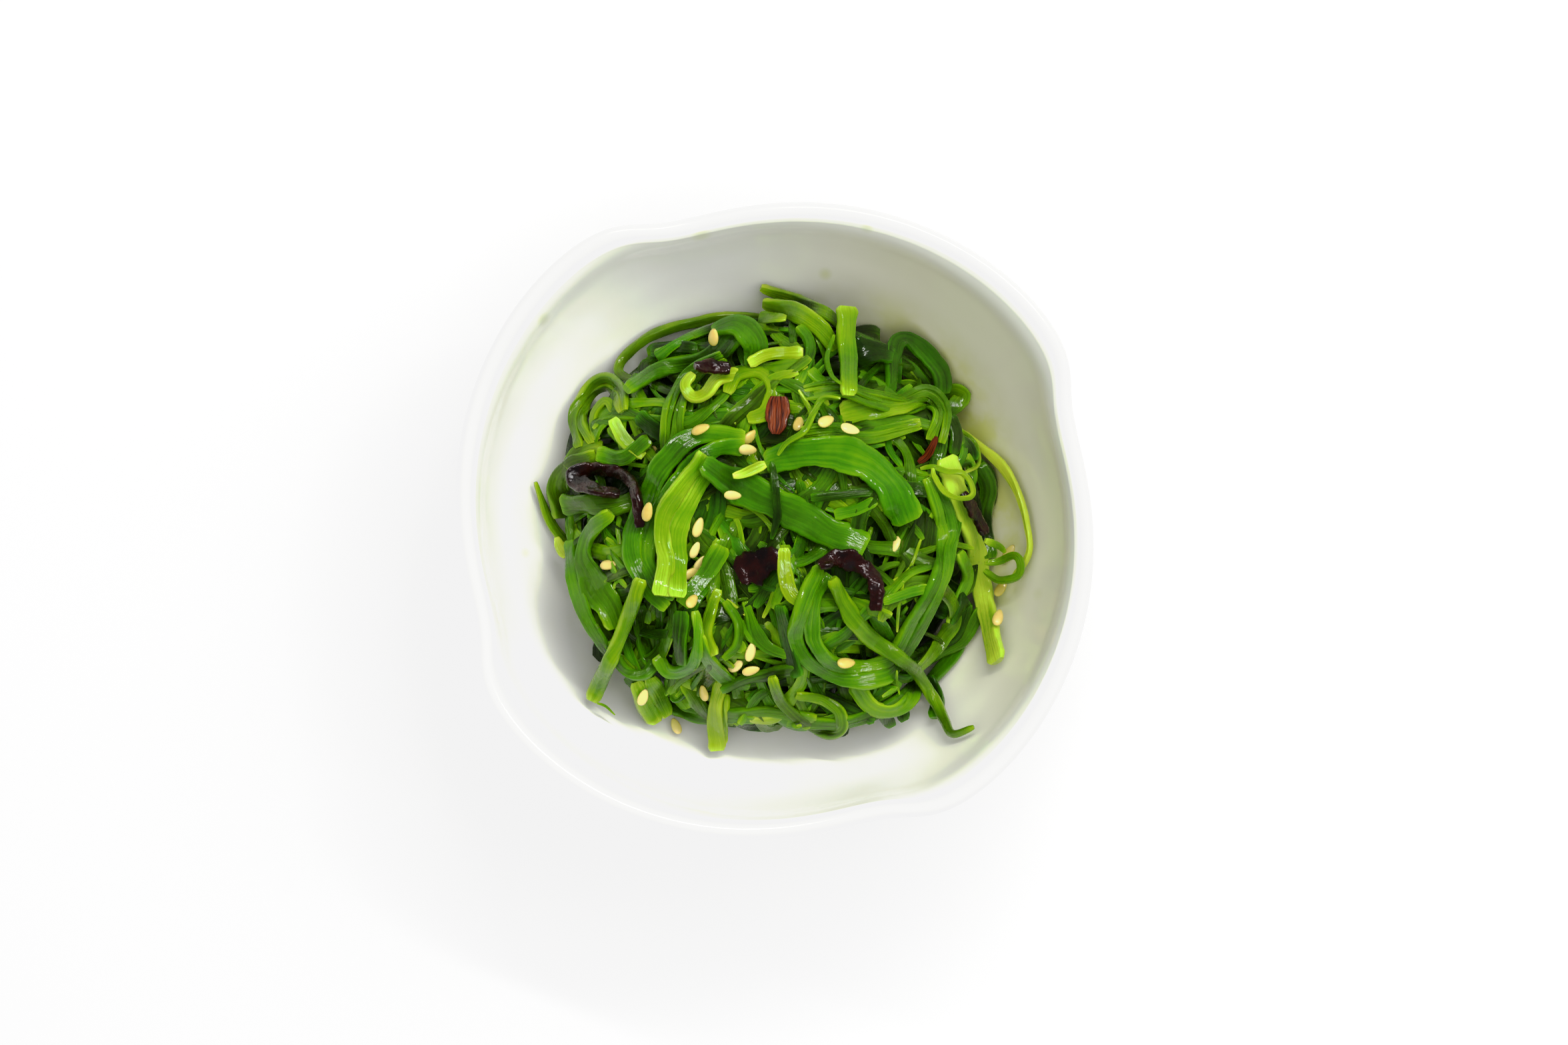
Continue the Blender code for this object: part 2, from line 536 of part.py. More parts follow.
def make_sesame(name, x, y, heading, rests, finish, collection):
    """One seed: a flattened ball drawn to a point at one end, lying on what is below it."""
    shaped = bmesh.new()
    bmesh.ops.create_uvsphere(shaped, u_segments=SESAME_AROUND, v_segments=SESAME_RINGS, radius=0.5)
    points = []
    for vertex in shaped.verts:
        slim = 1 - SESAME_POINT * (vertex.co.z + 0.5)
        points.append((vertex.co.z * SESAME_LENGTH, vertex.co.x * SESAME_WIDTH * slim,
                       vertex.co.y * SESAME_THICKNESS * slim))
    points = np.array(points)
    turn = math.radians(heading)
    turned = points.copy()
    turned[:, 0] = points[:, 0] * math.cos(turn) - points[:, 1] * math.sin(turn) + x
    turned[:, 1] = points[:, 0] * math.sin(turn) + points[:, 1] * math.cos(turn) + y
    reach = SESAME_LENGTH / 2
    tops = rests.at(np.array([(x + reach, y), (x - reach, y), (x, y + reach), (x, y - reach)]))
    slope = np.array([tops[0] - tops[1], tops[2] - tops[3]]) / SESAME_LENGTH
    slope = np.clip(slope, -SESAME_STEEPEST, SESAME_STEEPEST)
    turned[:, 2] += (turned[:, :2] - (x, y)) @ slope
    turned[:, 2] += (rests.at(turned[:, :2]) + GAP - turned[:, 2]).max()
    faces = [tuple(vertex.index for vertex in face.verts) for face in shaped.faces]
    shaped.free()
    return mesh_object(name, turned.tolist(), faces, finish, collection)


def build():
    for old in list(bpy.data.objects):
        bpy.data.objects.remove(old)
    salad = bpy.data.collections.new("wakame salad")
    bpy.context.scene.collection.children.link(salad)
    finishes = {name: material(name, *values) for name, values in COLOURS.items()}
    for shade, colour in GREENS.items():
        finishes[shade] = material(f"wakame_{shade}", colour, 0.25)

    bowl = make_bowl(finishes["porcelain"], salad)
    bpy.context.view_layer.update()
    bowl_map = HeightMap()
    bowl_map.add(bowl)
    bed = make_bed(bowl_map, finishes["dark"], salad)
    bpy.context.view_layer.update()
    laid_map = HeightMap()
    laid_map.height = bowl_map.height.copy()
    laid_map.add(bed)
    rests = ((laid_map, GAP),)

    def lay(made):
        bpy.context.view_layer.update()
        laid_map.add(made)

    for name, shade, points, widths, thickness in STRIPS:
        lay(strip(f"strip_{name}", points, widths, thickness, rests, finishes[shade], salad))
    for name, points, widths, thickness in WOOD_EAR:
        lay(strip(f"wood_ear_{name}", points, widths, thickness, rests, finishes["wood_ear"], salad))
    for name, points, widths, thickness in CHILLI:
        lay(strip(f"chilli_{name}", points, widths, thickness, rests, finishes["chilli"], salad))
    for number, (x, y, heading) in enumerate(SESAME, 1):
        lay(make_sesame(f"sesame_{number:02d}", x, y, heading, laid_map, finishes["sesame"], salad))


build()
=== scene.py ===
"""Wakame salad in a small pinched porcelain bowl: its finish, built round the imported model.

The tables below are in millimetres and the panel's settings in metres. +Z is up, +Y points to the top of the
picture, and the bowl's axis is the Z axis. Every strip is lowered onto what lies below it, in the tables'
order, so the finished strips lie where the solid ones do.
"""

import functools
import math
import random

import bpy
import numpy as np
from mathutils import Matrix, Vector
from mathutils.bvhtree import BVHTree


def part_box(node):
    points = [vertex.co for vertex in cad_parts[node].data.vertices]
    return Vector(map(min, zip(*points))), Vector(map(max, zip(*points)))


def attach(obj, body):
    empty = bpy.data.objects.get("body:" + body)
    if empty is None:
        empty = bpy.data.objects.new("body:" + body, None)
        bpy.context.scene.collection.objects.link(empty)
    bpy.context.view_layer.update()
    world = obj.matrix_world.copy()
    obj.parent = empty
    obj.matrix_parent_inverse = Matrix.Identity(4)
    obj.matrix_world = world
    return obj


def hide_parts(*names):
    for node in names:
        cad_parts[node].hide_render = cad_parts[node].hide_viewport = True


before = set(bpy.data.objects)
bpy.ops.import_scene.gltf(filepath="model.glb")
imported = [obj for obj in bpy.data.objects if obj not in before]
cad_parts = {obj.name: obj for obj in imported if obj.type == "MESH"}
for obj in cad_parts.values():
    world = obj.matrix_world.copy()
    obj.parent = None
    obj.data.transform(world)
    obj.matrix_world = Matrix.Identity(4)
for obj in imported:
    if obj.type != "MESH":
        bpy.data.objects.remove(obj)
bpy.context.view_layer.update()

bl_info = {
    "name": "Wakame salad",
    "version": (1, 0, 0),
    "blender": (4, 5, 0),
    "location": "View3D > Sidebar > Salad",
    "description": "Finishes a small pinched bowl of wakame salad",
    "category": "Add Mesh",
}

MM = 0.001

# The gap that solids keep where they meet.
GAP = 0.4

# The bowl's half section as (radius, height), from the foot over the lip to the floor.
FOOT = ((0.0, 2.5), (16.5, 2.5), (18.2, 2.1), (18.9, 0.5), (19.6, 0.0), (21.8, 0.0), (22.5, 0.6), (23.2, 2.8))
OUTSIDE = ((24.5, 4.2), (35.5, 7.8), (43.6, 14.6), (48.7, 23.2), (51.9, 33.6))
LIP = ((53.7, 41.8), (54.4, 42.55), (54.25, 43.5), (53.35, 44.0), (52.05, 43.5), (51.15, 42.1))
INSIDE = ((50.2, 38.6), (48.9, 32.0), (45.6, 23.6), (40.4, 15.8), (32.4, 9.8), (20.0, 6.7), (9.0, 6.1),
          (0.0, 6.0))

# Yellow stains of dressing on the wall as (x, y, size, strength), and the share of a height difference that
# counts towards their size, so that they run down a little.
STAINS = ((-38.2, 33.4, 1.8, 0.35), (-12.1, 47.2, 2.2, 0.3), (8.5, 41.9, 1.8, 0.5), (15.3, 48.4, 1.5, 0.25),
          (-42, -5, 1.4, 0.2), (44, -12, 1.6, 0.2))
STAIN_FALL = 0.4

# Height map of what has been laid: half its side, its cells and a height above all of it.
MAP_HALF = 56.0
CELL = 0.5
ABOVE = 200.0

# How a strip is laid: places along it, steepest bank, how often its bank and its first heights are smoothed,
# the rounds that lift it clear, in each of them the passes that stretch it over what it crosses and the last
# smoothings of its height and its lift, and how many widths further on it counts as crossing itself.
STEP = 0.7
STEEPEST = math.radians(52)
BANK_SMOOTHING = 8
HEIGHT_SMOOTHING = 4
ROUNDS = 3
SETTLING = 40
LAST_SMOOTHING = 3
LIFT_SMOOTHING = 2
LAP = 2.4

# A strip's plain section in half widths and half thicknesses, the most thickness for its width, and the
# samples in each span of its curve.
SECTION = np.array([(-1, 0), (-0.6, 1), (0.6, 1), (1, 0), (0.6, -1), (-0.6, -1)], float)
THICKEST_SHARE = 0.8
SPLINE_SAMPLES = 24

# How a strand differs from a plain strip. Side by side, strands swing by a share of their width, rise and
# fall by a distance, and overlap. All of them are uneven in width, thickness and fold, their ends are rounded
# and may taper over a length, and the last stretch is painted paler, as painted light passing through a cut
# end.
SIDE_SWING = 0.22
SIDE_LIFT = 0.35
SIDE_SPREAD = 1.05
SIDE_WIDTH = 1.25
UNEVEN = 0.10
UNEVEN_FOLD = 0.4
ROUND_END = 0.72
TAPER_LENGTH = 4.0
PAINTED_GLOW_END = 1.1

# The tangle under the strips: its core, the strips that cover it by rule as (count, length, widths), how far
# from the axis their middles and their ends lie, how far they sink into what is below, about how wide one
# strand of them is, and between which tones they lie, by rule or listed one by one.
CORE_EDGE_RADIUS = 33.0
CORE_EDGE_HEIGHT = 12.6
CORE_CROWN = 32.0
CORE_FULLNESS = 1.3
# The core's tone is painted shade, as dark as the deep gaps in the heap.
CORE_SHADE_TONE = 0.2
FILLERS = ((13, 27.0, (6.0, 9.0, 6.0)), (23, 25.0, (4.4, 5.4, 4.0)))
FILLER_REACH = 32.0
FILLER_LIMIT = 35.5
FILLER_SEED = 7
BED_THICKNESS = 2.2
BED_SINK = 1.1
BED_STRAND_WIDTH = 2.3
FILLER_TONES = (0.24, 0.44)
PICKED_TONES = (0.34, 0.56)

# Thin threads on the tangle: how far from the axis they reach, how long one stretch of them is, how far they
# sink in, and what their widths and tones are drawn from.
THREAD_REACH = 34.5
THREAD_STRETCH = 4.0
THREAD_SINK = 1.0
THREAD_THICKNESS = 1.2
THREAD_WIDTHS = (0.8, 1.0, 1.3, 1.7, 2.1, 2.6)
THREAD_TONES = (0.30, 0.38, 0.46, 0.54, 0.62)

# How thick the loose pieces between the strips and the stems over them are, and the gap under a stem.
UNDER_THICKNESS = 1.3
OVER_THICKNESS = 1.0
OVER_GAP = 0.1

# Painted shade: strands are painted darker with depth in the heap, where less light reaches them. Given are
# the depth that costs nothing, the share of tone that each further millimetre costs, how many of these count,
# and what a free strip keeps at least.
LIT_DEPTH = 1.5
DARKER_PER_MM = 0.125
DARKEST_DEPTH = 6.0
FREE_STRIP_KEEPS = 0.8

# Strips of the tangle listed one by one, lowest first: points seen from above, widths along it.
BED = (
    (((-21.5, 28.5), (-17, 29.6), (-11, 30.2), (-4, 30.5)), (3.4, 3.0)),
    (((13, 29.5), (17, 28.2), (22, 27.5), (27, 24.5)), (4.4, 5.2, 3.6)),
    (((-33.5, 12), (-29, 11.3), (-24, 12), (-18, 15)), (4.0, 3.2)),
    (((-24, 18.5), (-19, 17.8), (-13, 17), (-7, 18)), (3.6, 3.0)),
    (((-34, -9), (-31, -15.5), (-27, -21), (-22, -26)), (3.0, 3.8)),
    (((-9, -3), (-11.5, -8), (-14.5, -13), (-15.5, -20)), (3.6, 4.2, 3.0)),
    (((-8, -30), (-2, -31.2), (4, -31), (11, -31.5), (17, -32.5)), (3.0, 3.6)),
    (((22, -24), (27, -21.5), (31.5, -19.5), (34, -14)), (3.8, 3.4)),
    (((34.5, 10), (36.3, 6), (35.5, 1), (36.5, -6)), (3.0, 3.0)),
    (((5, 30), (5.6, 26), (4, 21.5), (6, 16)), (2.4, 2.8)),
    (((2, -12), (2.6, -18), (3.6, -23), (4.5, -28)), (3.2, 3.4)),
    (((17, -13.5), (22, -12), (27, -9), (30, -4)), (2.8, 3.2)),
    (((-16.5, -26.4), (-15.8, -29), (-14.6, -31.4)), (3.4, 5.0, 3.0)),
    (((17, -26), (19, -30), (21, -33.8)), (3.6, 4.4, 3.4)),
    (((6, 5), (11, 4.6), (17, 5.4)), (2.6, 2.6)),
    (((9, 0), (13.4, 1.8), (18, 3.8)), (2.6, 3.0)),
    (((1.4, -4), (1.8, -9), (3, -12.6), (6.6, -13.8)), (2.6, 2.8)),
    (((-27.6, 16.4), (-25.2, 13.8), (-22.4, 11.2)), (2.6, 2.6)),
)

# Free strips, lowest first. Each has its name, slot, tone from dark to bright, warmth from green to olive,
# strands side by side, fold across it, points seen from above, widths along it and thickness.
STRIPS = (
    ("wall_loop", "olive", 0.50, 0.75, 1, 0.1, ((8, 33.2), (2, 34.4), (-6, 35.2), (-13, 34.4), (-20.4, 32.2),
     (-25.2, 28.6), (-26.6, 26), (-25, 24.4), (-21.8, 23.4)), (1.5, 1.9, 1.6), 1.5),
    ("wall_sprig", "light", 0.62, 0.55, 1, 0.0, ((-40.6, 7), (-39.4, 3.4), (-38, 0), (-35.6, -3.4)),
     (0.8, 1.5, 2.4), 1.0),
    ("right_thread", "yellow", 0.92, 0.70, 1, 0.1, ((32, 15.6), (35.6, 12.6), (38.8, 9.4), (41.2, 5),
     (42.6, 0), (43, -5), (40.4, -9.4)), (1.0, 2.0, 1.2, 1.0), 1.0),
    ("left_curl", "olive", 0.55, 0.75, 2, 0.2, ((-32, 13), (-33, 18), (-31.5, 22.4), (-28.6, 24), (-26.2, 22),
     (-25.4, 18.6)), (3.2, 3.0, 2.4), 1.5),
    ("top_blade_long", "olive", 0.62, 0.60, 1, 0.3, ((-2.4, 40), (3, 38.2), (8, 35.6), (12.4, 32)),
     (1.6, 2.4, 2.2), 1.4),
    ("top_blade_broad", "light", 0.60, 0.35, 1, 0.3, ((-2, 37.4), (3, 35.8), (7.4, 33), (10.4, 29)),
     (2.8, 3.2, 2.8), 1.4),
    ("right_fold", "dark", 0.34, 0.10, 1, 0.3, ((19.5, 22), (19.8, 28), (21.5, 31), (25, 29.5), (28, 25.6),
     (28.6, 22)), (2.2, 3.2, 3.6), 1.5),
    ("left_leaf", "olive", 0.48, 0.75, 1, 0.3, ((-36.6, 0.8), (-36.8, 5.5), (-34, 9.4), (-30, 11.5)),
     (3.6, 4.2, 3.4), 1.5),
    ("left_stub", "olive", 0.50, 0.50, 1, 0.2, ((-36, 3), (-32, 3.2), (-27, 2.6), (-22.5, 4)),
     (4.2, 3.8, 3.0), 1.8),
    ("left_ribbon", "mid", 0.46, 0.40, 1, 0.4, ((-27.5, 1.6), (-31, -2), (-32.2, -6), (-30.6, -10),
     (-28, -14), (-26.8, -18)), (2.6, 2.8, 5.6, 3.6), 1.5),
    ("foot_leaf", "light", 0.70, 0.35, 2, 0.3, ((-22.5, -26.5), (-21, -30), (-19.2, -33.4)),
     (4.6, 5.0, 3.6), 1.8),
    ("hanging_arc", "mid", 0.50, 0.20, 1, 0.2, ((-28, -20), (-25.2, -24.8), (-21.8, -25.6), (-19.6, -22),
     (-19, -17), (-19.3, -12)), (1.8, 2.0, 1.9), 1.5),
    ("shiny_arc", "light", 0.58, 0.15, 1, 0.2, ((-20, -22.6), (-17.6, -25.2), (-14, -24), (-12.6, -20),
     (-13.4, -15)), (2.4, 2.2, 1.6), 1.5),
    ("bottom_stem", "yellow", 0.68, 0.60, 1, 0.3, ((-9, -26), (-9.8, -31), (-10, -35), (-9.8, -38.6)),
     (2.4, 2.8, 3.4), 1.7),
    ("rolled_strip", "dark", 0.34, 0.20, 1, 0.1, ((4, -24.5), (-1, -25.6), (-5, -26.4), (-9, -28.4)),
     (2.2, 2.4, 1.4), 1.5),
    ("bottom_loop", "olive", 0.46, 0.55, 1, 0.2, ((-0.5, -26), (1.2, -30.4), (5, -33.6), (9, -35.6),
     (11.2, -34.6), (10.8, -31.8), (8, -30), (3.5, -29)), (1.8, 2.2, 2.0, 1.6), 1.5),
    ("lower_scoop", "light", 0.60, 0.35, 1, 0.3, ((13.5, -27), (16.5, -31), (20.4, -31.4), (23.6, -28.4),
     (23.4, -24)), (3.4, 3.0, 2.4), 1.5),
    ("belt_low", "light", 0.56, 0.35, 3, 0.1, ((4.5, 14.6), (10, 15.2), (15.5, 14.4), (20.4, 15.6),
     (24.6, 16.6)), (2.2, 3.0, 2.0), 1.5),
    ("belt_high", "light", 0.60, 0.40, 5, 0.1, ((5, 21.4), (10.5, 22.2), (16, 20.8), (21.5, 20), (26, 21.4),
     (28, 18.2), (27, 13.6)), (2.6, 4.4, 4.0, 3.4), 1.6),
    ("upright_stem", "light", 0.66, 0.35, 1, 0.4, ((12.1, 36.4), (11.9, 31.6), (12.3, 27), (12.2, 21)),
     (3.9, 3.4, 3.0), 1.8),
    ("long_strip", "mid", 0.52, 0.15, 1, 0.3, ((-24.8, 22.2), (-20.4, 25.2), (-16, 27), (-11, 27.8),
     (-6, 31.6)), (2.6, 3.0, 4.4), 1.6),
    ("crown_leaf", "mid", 0.50, 0.15, 1, 0.5, ((-10.5, 32), (-6.5, 33), (-3.4, 30), (-3.6, 25.4)),
     (3.4, 5.4, 4.2), 1.5),
    ("left_bundle", "light", 0.58, 0.35, 4, 0.1, ((-8.6, 27.8), (-12.6, 25.8), (-15.6, 22), (-17.2, 17.6),
     (-17.8, 12), (-18.6, 7)), (2.6, 3.4, 3.6, 2.6), 1.7),
    ("bright_fall", "yellow", 1.12, 0.30, 1, 0.3, ((28.6, 11), (30.2, 6.4), (32.2, 1), (34, -5),
     (35.2, -11), (36.4, -17), (37.6, -23.4)), (4.6, 4.4, 3.8, 3.6, 4.2), 1.7),
    ("big_loop", "light", 0.53, 0.14, 2, 0.2, ((26, 7.6), (28.4, 1), (28.6, -5), (26.6, -12), (22.6, -19.4),
     (17, -25), (11.6, -25.8), (7, -23), (5, -17.6), (6, -12), (8.4, -8.4)),
     (3.0, 3.6, 4.4, 4.6, 4.4, 4.0), 1.7),
    ("shoulder_outer", "mid", 0.56, 0.10, 2, 0.3, ((-5, 13.6), (-10, 13.6), (-15, 10.6), (-19, 5),
     (-21.6, -1), (-22.6, -6.4), (-20.6, -11), (-17.4, -13.8)), (4.8, 6.0, 6.2, 4.0), 1.7),
    ("arch_ribbon", "mid", 0.51, 0.0, 1, 0.3, ((-1.5, 9.6), (4, 11.4), (10, 11.6), (15.6, 9.4), (19.6, 5.4),
     (22.6, 0)), (4.2, 5.8, 6.4, 5.8), 1.7),
    ("shoulder_inner", "light", 0.72, 0.18, 2, 0.2, ((-11.4, 11), (-14.6, 6.4), (-16.8, 0), (-17, -6),
     (-17.6, -12.6)), (4.6, 5.0, 5.4), 1.7),
    ("diagonal", "light", 0.49, 0.05, 1, 0.3, ((-12, 9.6), (-8.4, 7), (-3, 4.6), (3, 1.6), (9, -1.6),
     (15.2, -4.6)), (4.4, 6.0, 5.6, 5.2), 1.8),
    ("tail_stem", "olive", 0.47, 0.55, 1, -0.4, ((9.6, -9.6), (12.4, -15), (16, -19.4), (20, -22.2),
     (24, -25.4), (27, -30), (28.6, -33.4), (30, -35.6), (33.4, -34.4)), (2.4, 3.2, 2.8, 2.4, 1.8, 0.9), 1.4),
    ("left_stem", "mid", 0.56, 0.40, 1, -0.3, ((-22.4, -9.6), (-24.2, -15), (-26.8, -21.4), (-29, -26),
     (-31, -30.2)), (2.4, 2.6, 2.6), 1.7),
    ("yellow_strip", "yellow", 0.76, 0.65, 1, 0.1, ((-4.4, 26.6), (-1, 28.2), (4.8, 28.4)),
     (2.0, 2.2, 2.2), 1.4),
    ("yellow_curl", "yellow", 0.72, 0.60, 1, 0.3, ((-6, 24.6), (-9.4, 24), (-11.6, 21.4), (-13.8, 20.8),
     (-15, 22.8), (-13.6, 24.8)), (3.4, 2.2, 1.6), 1.4),
)

# Loose pieces that show between the free strips, on the tangle: tone, warmth, points, widths.
UNDER = (
    (0.22, 0.10, ((-21, 29), (-17, 29.6), (-13, 29.5)), (2.5, 2.2)),
    (0.55, 0.70, ((-30, 14), (-30.5, 18), (-28.5, 20.5), (-27, 18.5)), (1.6, 1.4)),
    (0.68, 0.25, ((-27.4, 17.4), (-25.2, 13.8), (-22, 11)), (2.2, 2.0)),
    (0.20, 0.10, ((-23, 18), (-20, 15.5), (-17, 13.5)), (3.0, 2.6)),
    (0.62, 0.45, ((-8, 21.5), (-6.2, 24.6), (-2.4, 25), (0, 22), (-1.4, 18.4), (-4.6, 17.2)),
     (2.0, 3.0, 3.2, 2.4)),
    (0.48, 0.70, ((-35, 9), (-32, 12), (-29, 12.5)), (4.0, 3.0)),
    (0.42, 0.20, ((-30, 11.5), (-25.5, 11), (-21, 14)), (3.0, 2.6)),
    (0.52, 0.15, ((4, 33), (5.5, 31), (6, 28.5), (5, 25.5), (4, 23)), (2.0, 1.8)),
    (0.20, 0.05, ((13.5, 29), (17, 28.8), (20, 28)), (5.0, 4.6)),
    (0.50, 0.10, ((20.5, 30), (20.8, 26), (20.5, 22)), (1.5, 1.3)),
    (0.58, 0.20, ((5.8, 25.5), (7, 24), (8.5, 23)), (3.0, 2.6)),
    (0.55, 0.20, ((14, 25), (17, 23.5), (20.5, 20.5)), (2.5, 2.2)),
    (0.62, 0.30, ((11, 18), (16, 19), (21, 19.5), (24, 20.5), (27.5, 20)), (4.0, 4.6, 3.6)),
    (0.50, 0.30, ((12, 15), (17, 16.5), (22, 17), (27, 16)), (2.2, 2.0)),
    (0.52, 0.50, ((28.5, 21.5), (30.5, 22.5), (32, 21.5), (30, 19.5), (28.5, 18.5)), (2.4, 3.0, 2.4)),
    (0.24, 0.10, ((29.5, 18), (30.5, 15), (30, 11.5)), (2.5, 2.4)),
    (0.30, 0.10, ((31, 14), (32.6, 12.6), (33.5, 10.5)), (3.0, 2.6)),
    (0.30, 0.10, ((34, 11), (36.5, 8), (36.5, 4), (35, 2)), (2.4, 2.6)),
    (0.56, 0.15, ((31, -5), (32.5, -9), (31, -13), (29.5, -17)), (2.5, 2.4)),
    (0.22, 0.05, ((24, -23), (27, -21), (30, -20.5)), (3.5, 3.0)),
    (0.36, 0.15, ((26, -26), (27.5, -30), (27, -33)), (3.0, 2.4)),
    (0.24, 0.10, ((6, 4), (11, 4.5), (17, 5)), (1.6, 1.6)),
    (0.44, 0.10, ((10, 1), (14, 2), (17, 3.5)), (2.0, 2.0)),
    (0.62, 0.55, ((1.5, -4.5), (1.8, -9), (3, -12.5), (5.5, -13.5)), (2.4, 2.6)),
    (0.46, 0.20, ((-9, -4), (-11, -8), (-14, -12), (-15.5, -14)), (3.5, 3.0)),
    (0.44, 0.20, ((-23, -14), (-22.5, -19), (-21, -24)), (3.0, 2.8)),
    (0.26, 0.10, ((-15.5, -15), (-15.8, -20), (-15.5, -24)), (2.8, 2.6)),
    (0.50, 0.25, ((-5, -13.4), (-3.8, -17.6), (-1.4, -20.8), (2.4, -22.4)), (1.8, 2.4, 1.6)),
    (0.56, 0.50, ((-9.4, -11.4), (-10.6, -15), (-11.4, -18.8), (-10, -22.4)), (1.8, 2.4, 2.0)),
    (0.46, 0.30, ((-8.4, -13.4), (-6.2, -17), (-6.4, -20.6), (-8.6, -23)), (1.4, 1.9, 1.4)),
    (0.50, 0.25, ((-12.4, -19), (-11, -23), (-8.2, -26.2), (-4.2, -27.6)), (2.2, 3.2, 2.0)),
    (0.48, 0.20, ((-6, -34), (-3, -29.5), (-1, -28)), (1.5, 1.6)),
    (0.30, 0.10, ((1, -14), (2, -19), (3, -23.5), (4, -26)), (3.0, 2.6)),
    (0.26, 0.15, ((7, -29), (12, -31), (17, -33)), (3.0, 2.4)),
    (0.66, 0.65, ((-8.2, -29), (-8.5, -33), (-9, -37.4)), (1.6, 1.8)),
    (0.60, 0.20, ((18, -13.5), (22, -12), (25.5, -11)), (1.8, 1.6)),
    (0.62, 0.45, ((-5, 25.4), (0, 25.4), (5.6, 26.6)), (3.6, 3.6)),
    (0.42, 0.20, ((-34.6, -3), (-33.8, -10), (-31, -17), (-26.6, -23.4)), (2.2, 2.8, 2.2)),
    (0.40, 0.20, ((-25, -26), (-20, -30), (-12.5, -32.6), (-3, -33)), (2.4, 2.8, 2.2)),
    (0.48, 0.40, ((-16, -30.8), (-9, -32), (-1, -31.8), (7, -33)), (1.8, 2.2, 1.8)),
    (0.40, 0.25, ((2, -33.6), (11, -33.8), (18.4, -31.4), (25, -26.8)), (2.4, 2.8, 2.2)),
    (0.44, 0.20, ((25, -28.6), (30, -22.5), (33.6, -16)), (2.6, 2.8, 2.4)),
)

# Thin stems and ends that lie over everything else: tone, warmth, points, widths.
OVER = (
    (0.60, 0.45, ((0.5, 11), (2, 13), (5, 15), (6.5, 18), (8, 20.5), (11, 20.5)), (0.9, 1.2, 1.0)),
    (0.60, 0.45, ((5.8, 17), (6, 18.5), (4, 22)), (0.9, 0.7)),
    (0.70, 0.55, ((24.5, 9), (26.5, 9.3), (29, 8.5), (31.5, 8.3), (33, 6.5), (33.2, 4.5), (31, 4), (28.5, 5),
                  (26.8, 7.5), (26.5, 9)), (0.9, 1.0, 0.9)),
    (0.64, 0.60, ((31.5, 16), (34, 13.5), (34.5, 10), (32, 8.3)), (0.8, 0.9)),
    (0.78, 0.65, ((-7, 7.5), (-5, 8), (-1.5, 9.5)), (2.0, 2.4)),
    (0.28, 0.15, ((-0.5, 10), (0, 6), (0.5, 1), (-0.5, -3)), (1.3, 1.6, 1.2)),
    (0.66, 0.55, ((19, -10.5), (22.5, -8), (24.5, -3)), (0.6, 0.7)),
    (0.66, 0.55, ((21.5, -10), (20.8, -14), (20.5, -18.5)), (0.6, 0.6)),
    (0.66, 0.55, ((20.5, -25), (20.6, -27), (21, -29)), (0.6, 0.5)),
    (0.60, 0.50, ((35.5, -8), (38, -9.7), (41, -9), (41.5, -7), (40.5, -5.5), (38, -6.5), (35.5, -6.8)),
     (1.6, 1.4, 1.2)),
    (0.58, 0.40, ((35.5, -3), (38, -4), (39, -5)), (1.6, 1.2)),
    (0.74, 0.70, ((-8, -13), (-6.5, -14.2), (-5, -15.7)), (0.5, 0.5)),
    (0.52, 0.30, ((10, 31.5), (8.8, 27.5), (9.5, 24.5), (11, 23)), (0.8, 0.9)),
    (0.84, 0.60, ((-37, -2.4), (-36.4, -4), (-35.2, -5.6)), (1.6, 2.6)),
    (0.52, 0.40, ((-30, -30.5), (-28.6, -31), (-27, -32.5)), (0.7, 0.4)),
)

# Wood ear and chilli flakes: name, fold across, points seen from above, widths and thickness.
WOOD_EAR = (
    ("hooked", 0.35, ((-26, 4.6), (-30.4, 5.4), (-33.4, 7.4), (-31.4, 9), (-27.4, 8.7), (-24.6, 7.4),
     (-23, 3.6), (-22.6, -1)), (1.8, 3.4, 3.0, 2.0, 1.7), 1.4),
    ("flake", 0.5, ((-6.2, -9.2), (-3, -7.6), (1, -6)), (4.4, 7.2, 4.6), 1.3),
    ("crumpled", 0.3, ((7.4, -7.6), (11, -6.2), (14.6, -7.6), (17, -10.4), (17, -15)),
     (2.4, 3.2, 3.0, 2.2), 1.5),
    ("tuft", 0.3, ((-13.4, 26), (-10.6, 26), (-7.4, 25.4)), (1.8, 2.8, 1.8), 1.4),
    ("side", 0.3, ((31.6, 5), (33.6, 1.6), (35.6, -2)), (1.8, 2.4, 2.0), 1.4),
)
CHILLI = (
    ("flake", 0.3, ((0.2, 14.6), (0.5, 17.6), (0.7, 21)), (1.8, 4.6, 4.4), 0.9),
    ("sliver", 0.3, ((24.2, 10), (25.8, 11.4), (27.2, 14.4)), (1.2, 1.5, 0.8), 0.9),
)

# Sesame seeds: middle seen from above and heading in degrees. The first have solids of their own.
SESAME = (
    (-10.2, 31, 70), (-12.4, 15.4, 5), (-21.2, 1.6, 70), (-7, 4.2, -15), (8.6, 16.8, 35), (12.6, 15.4, 0),
    (20.3, -3.7, 75), (-27.9, -7.3, -15), (-13.3, -4.8, 80), (-13.7, -13.3, 50), (-6.6, -24.1, 35),
    (-4, -21.8, 80), (-0.6, -21.4, -25), (-12, -28.8, 85), (-16.8, -34.4, 100), (12, -23.6, 20),
    (38.4, -11, 60), (37.8, -16, 75),
)
MORE_SESAME = (
    (4, 16.5, 80), (-4, 14.3, 30), (-4.5, 12, -20), (-20.3, 11.5, 75), (-12.5, -7, 60), (-14, -8.7, 20),
    (-4, -25, 15), (-22.2, -29.5, 80), (-12.8, -1, 70), (39.7, -5, 50),
)
SESAME_STEEPEST = 0.6
SESAME_SEAT = 0.35
SESAME_SEED = 5

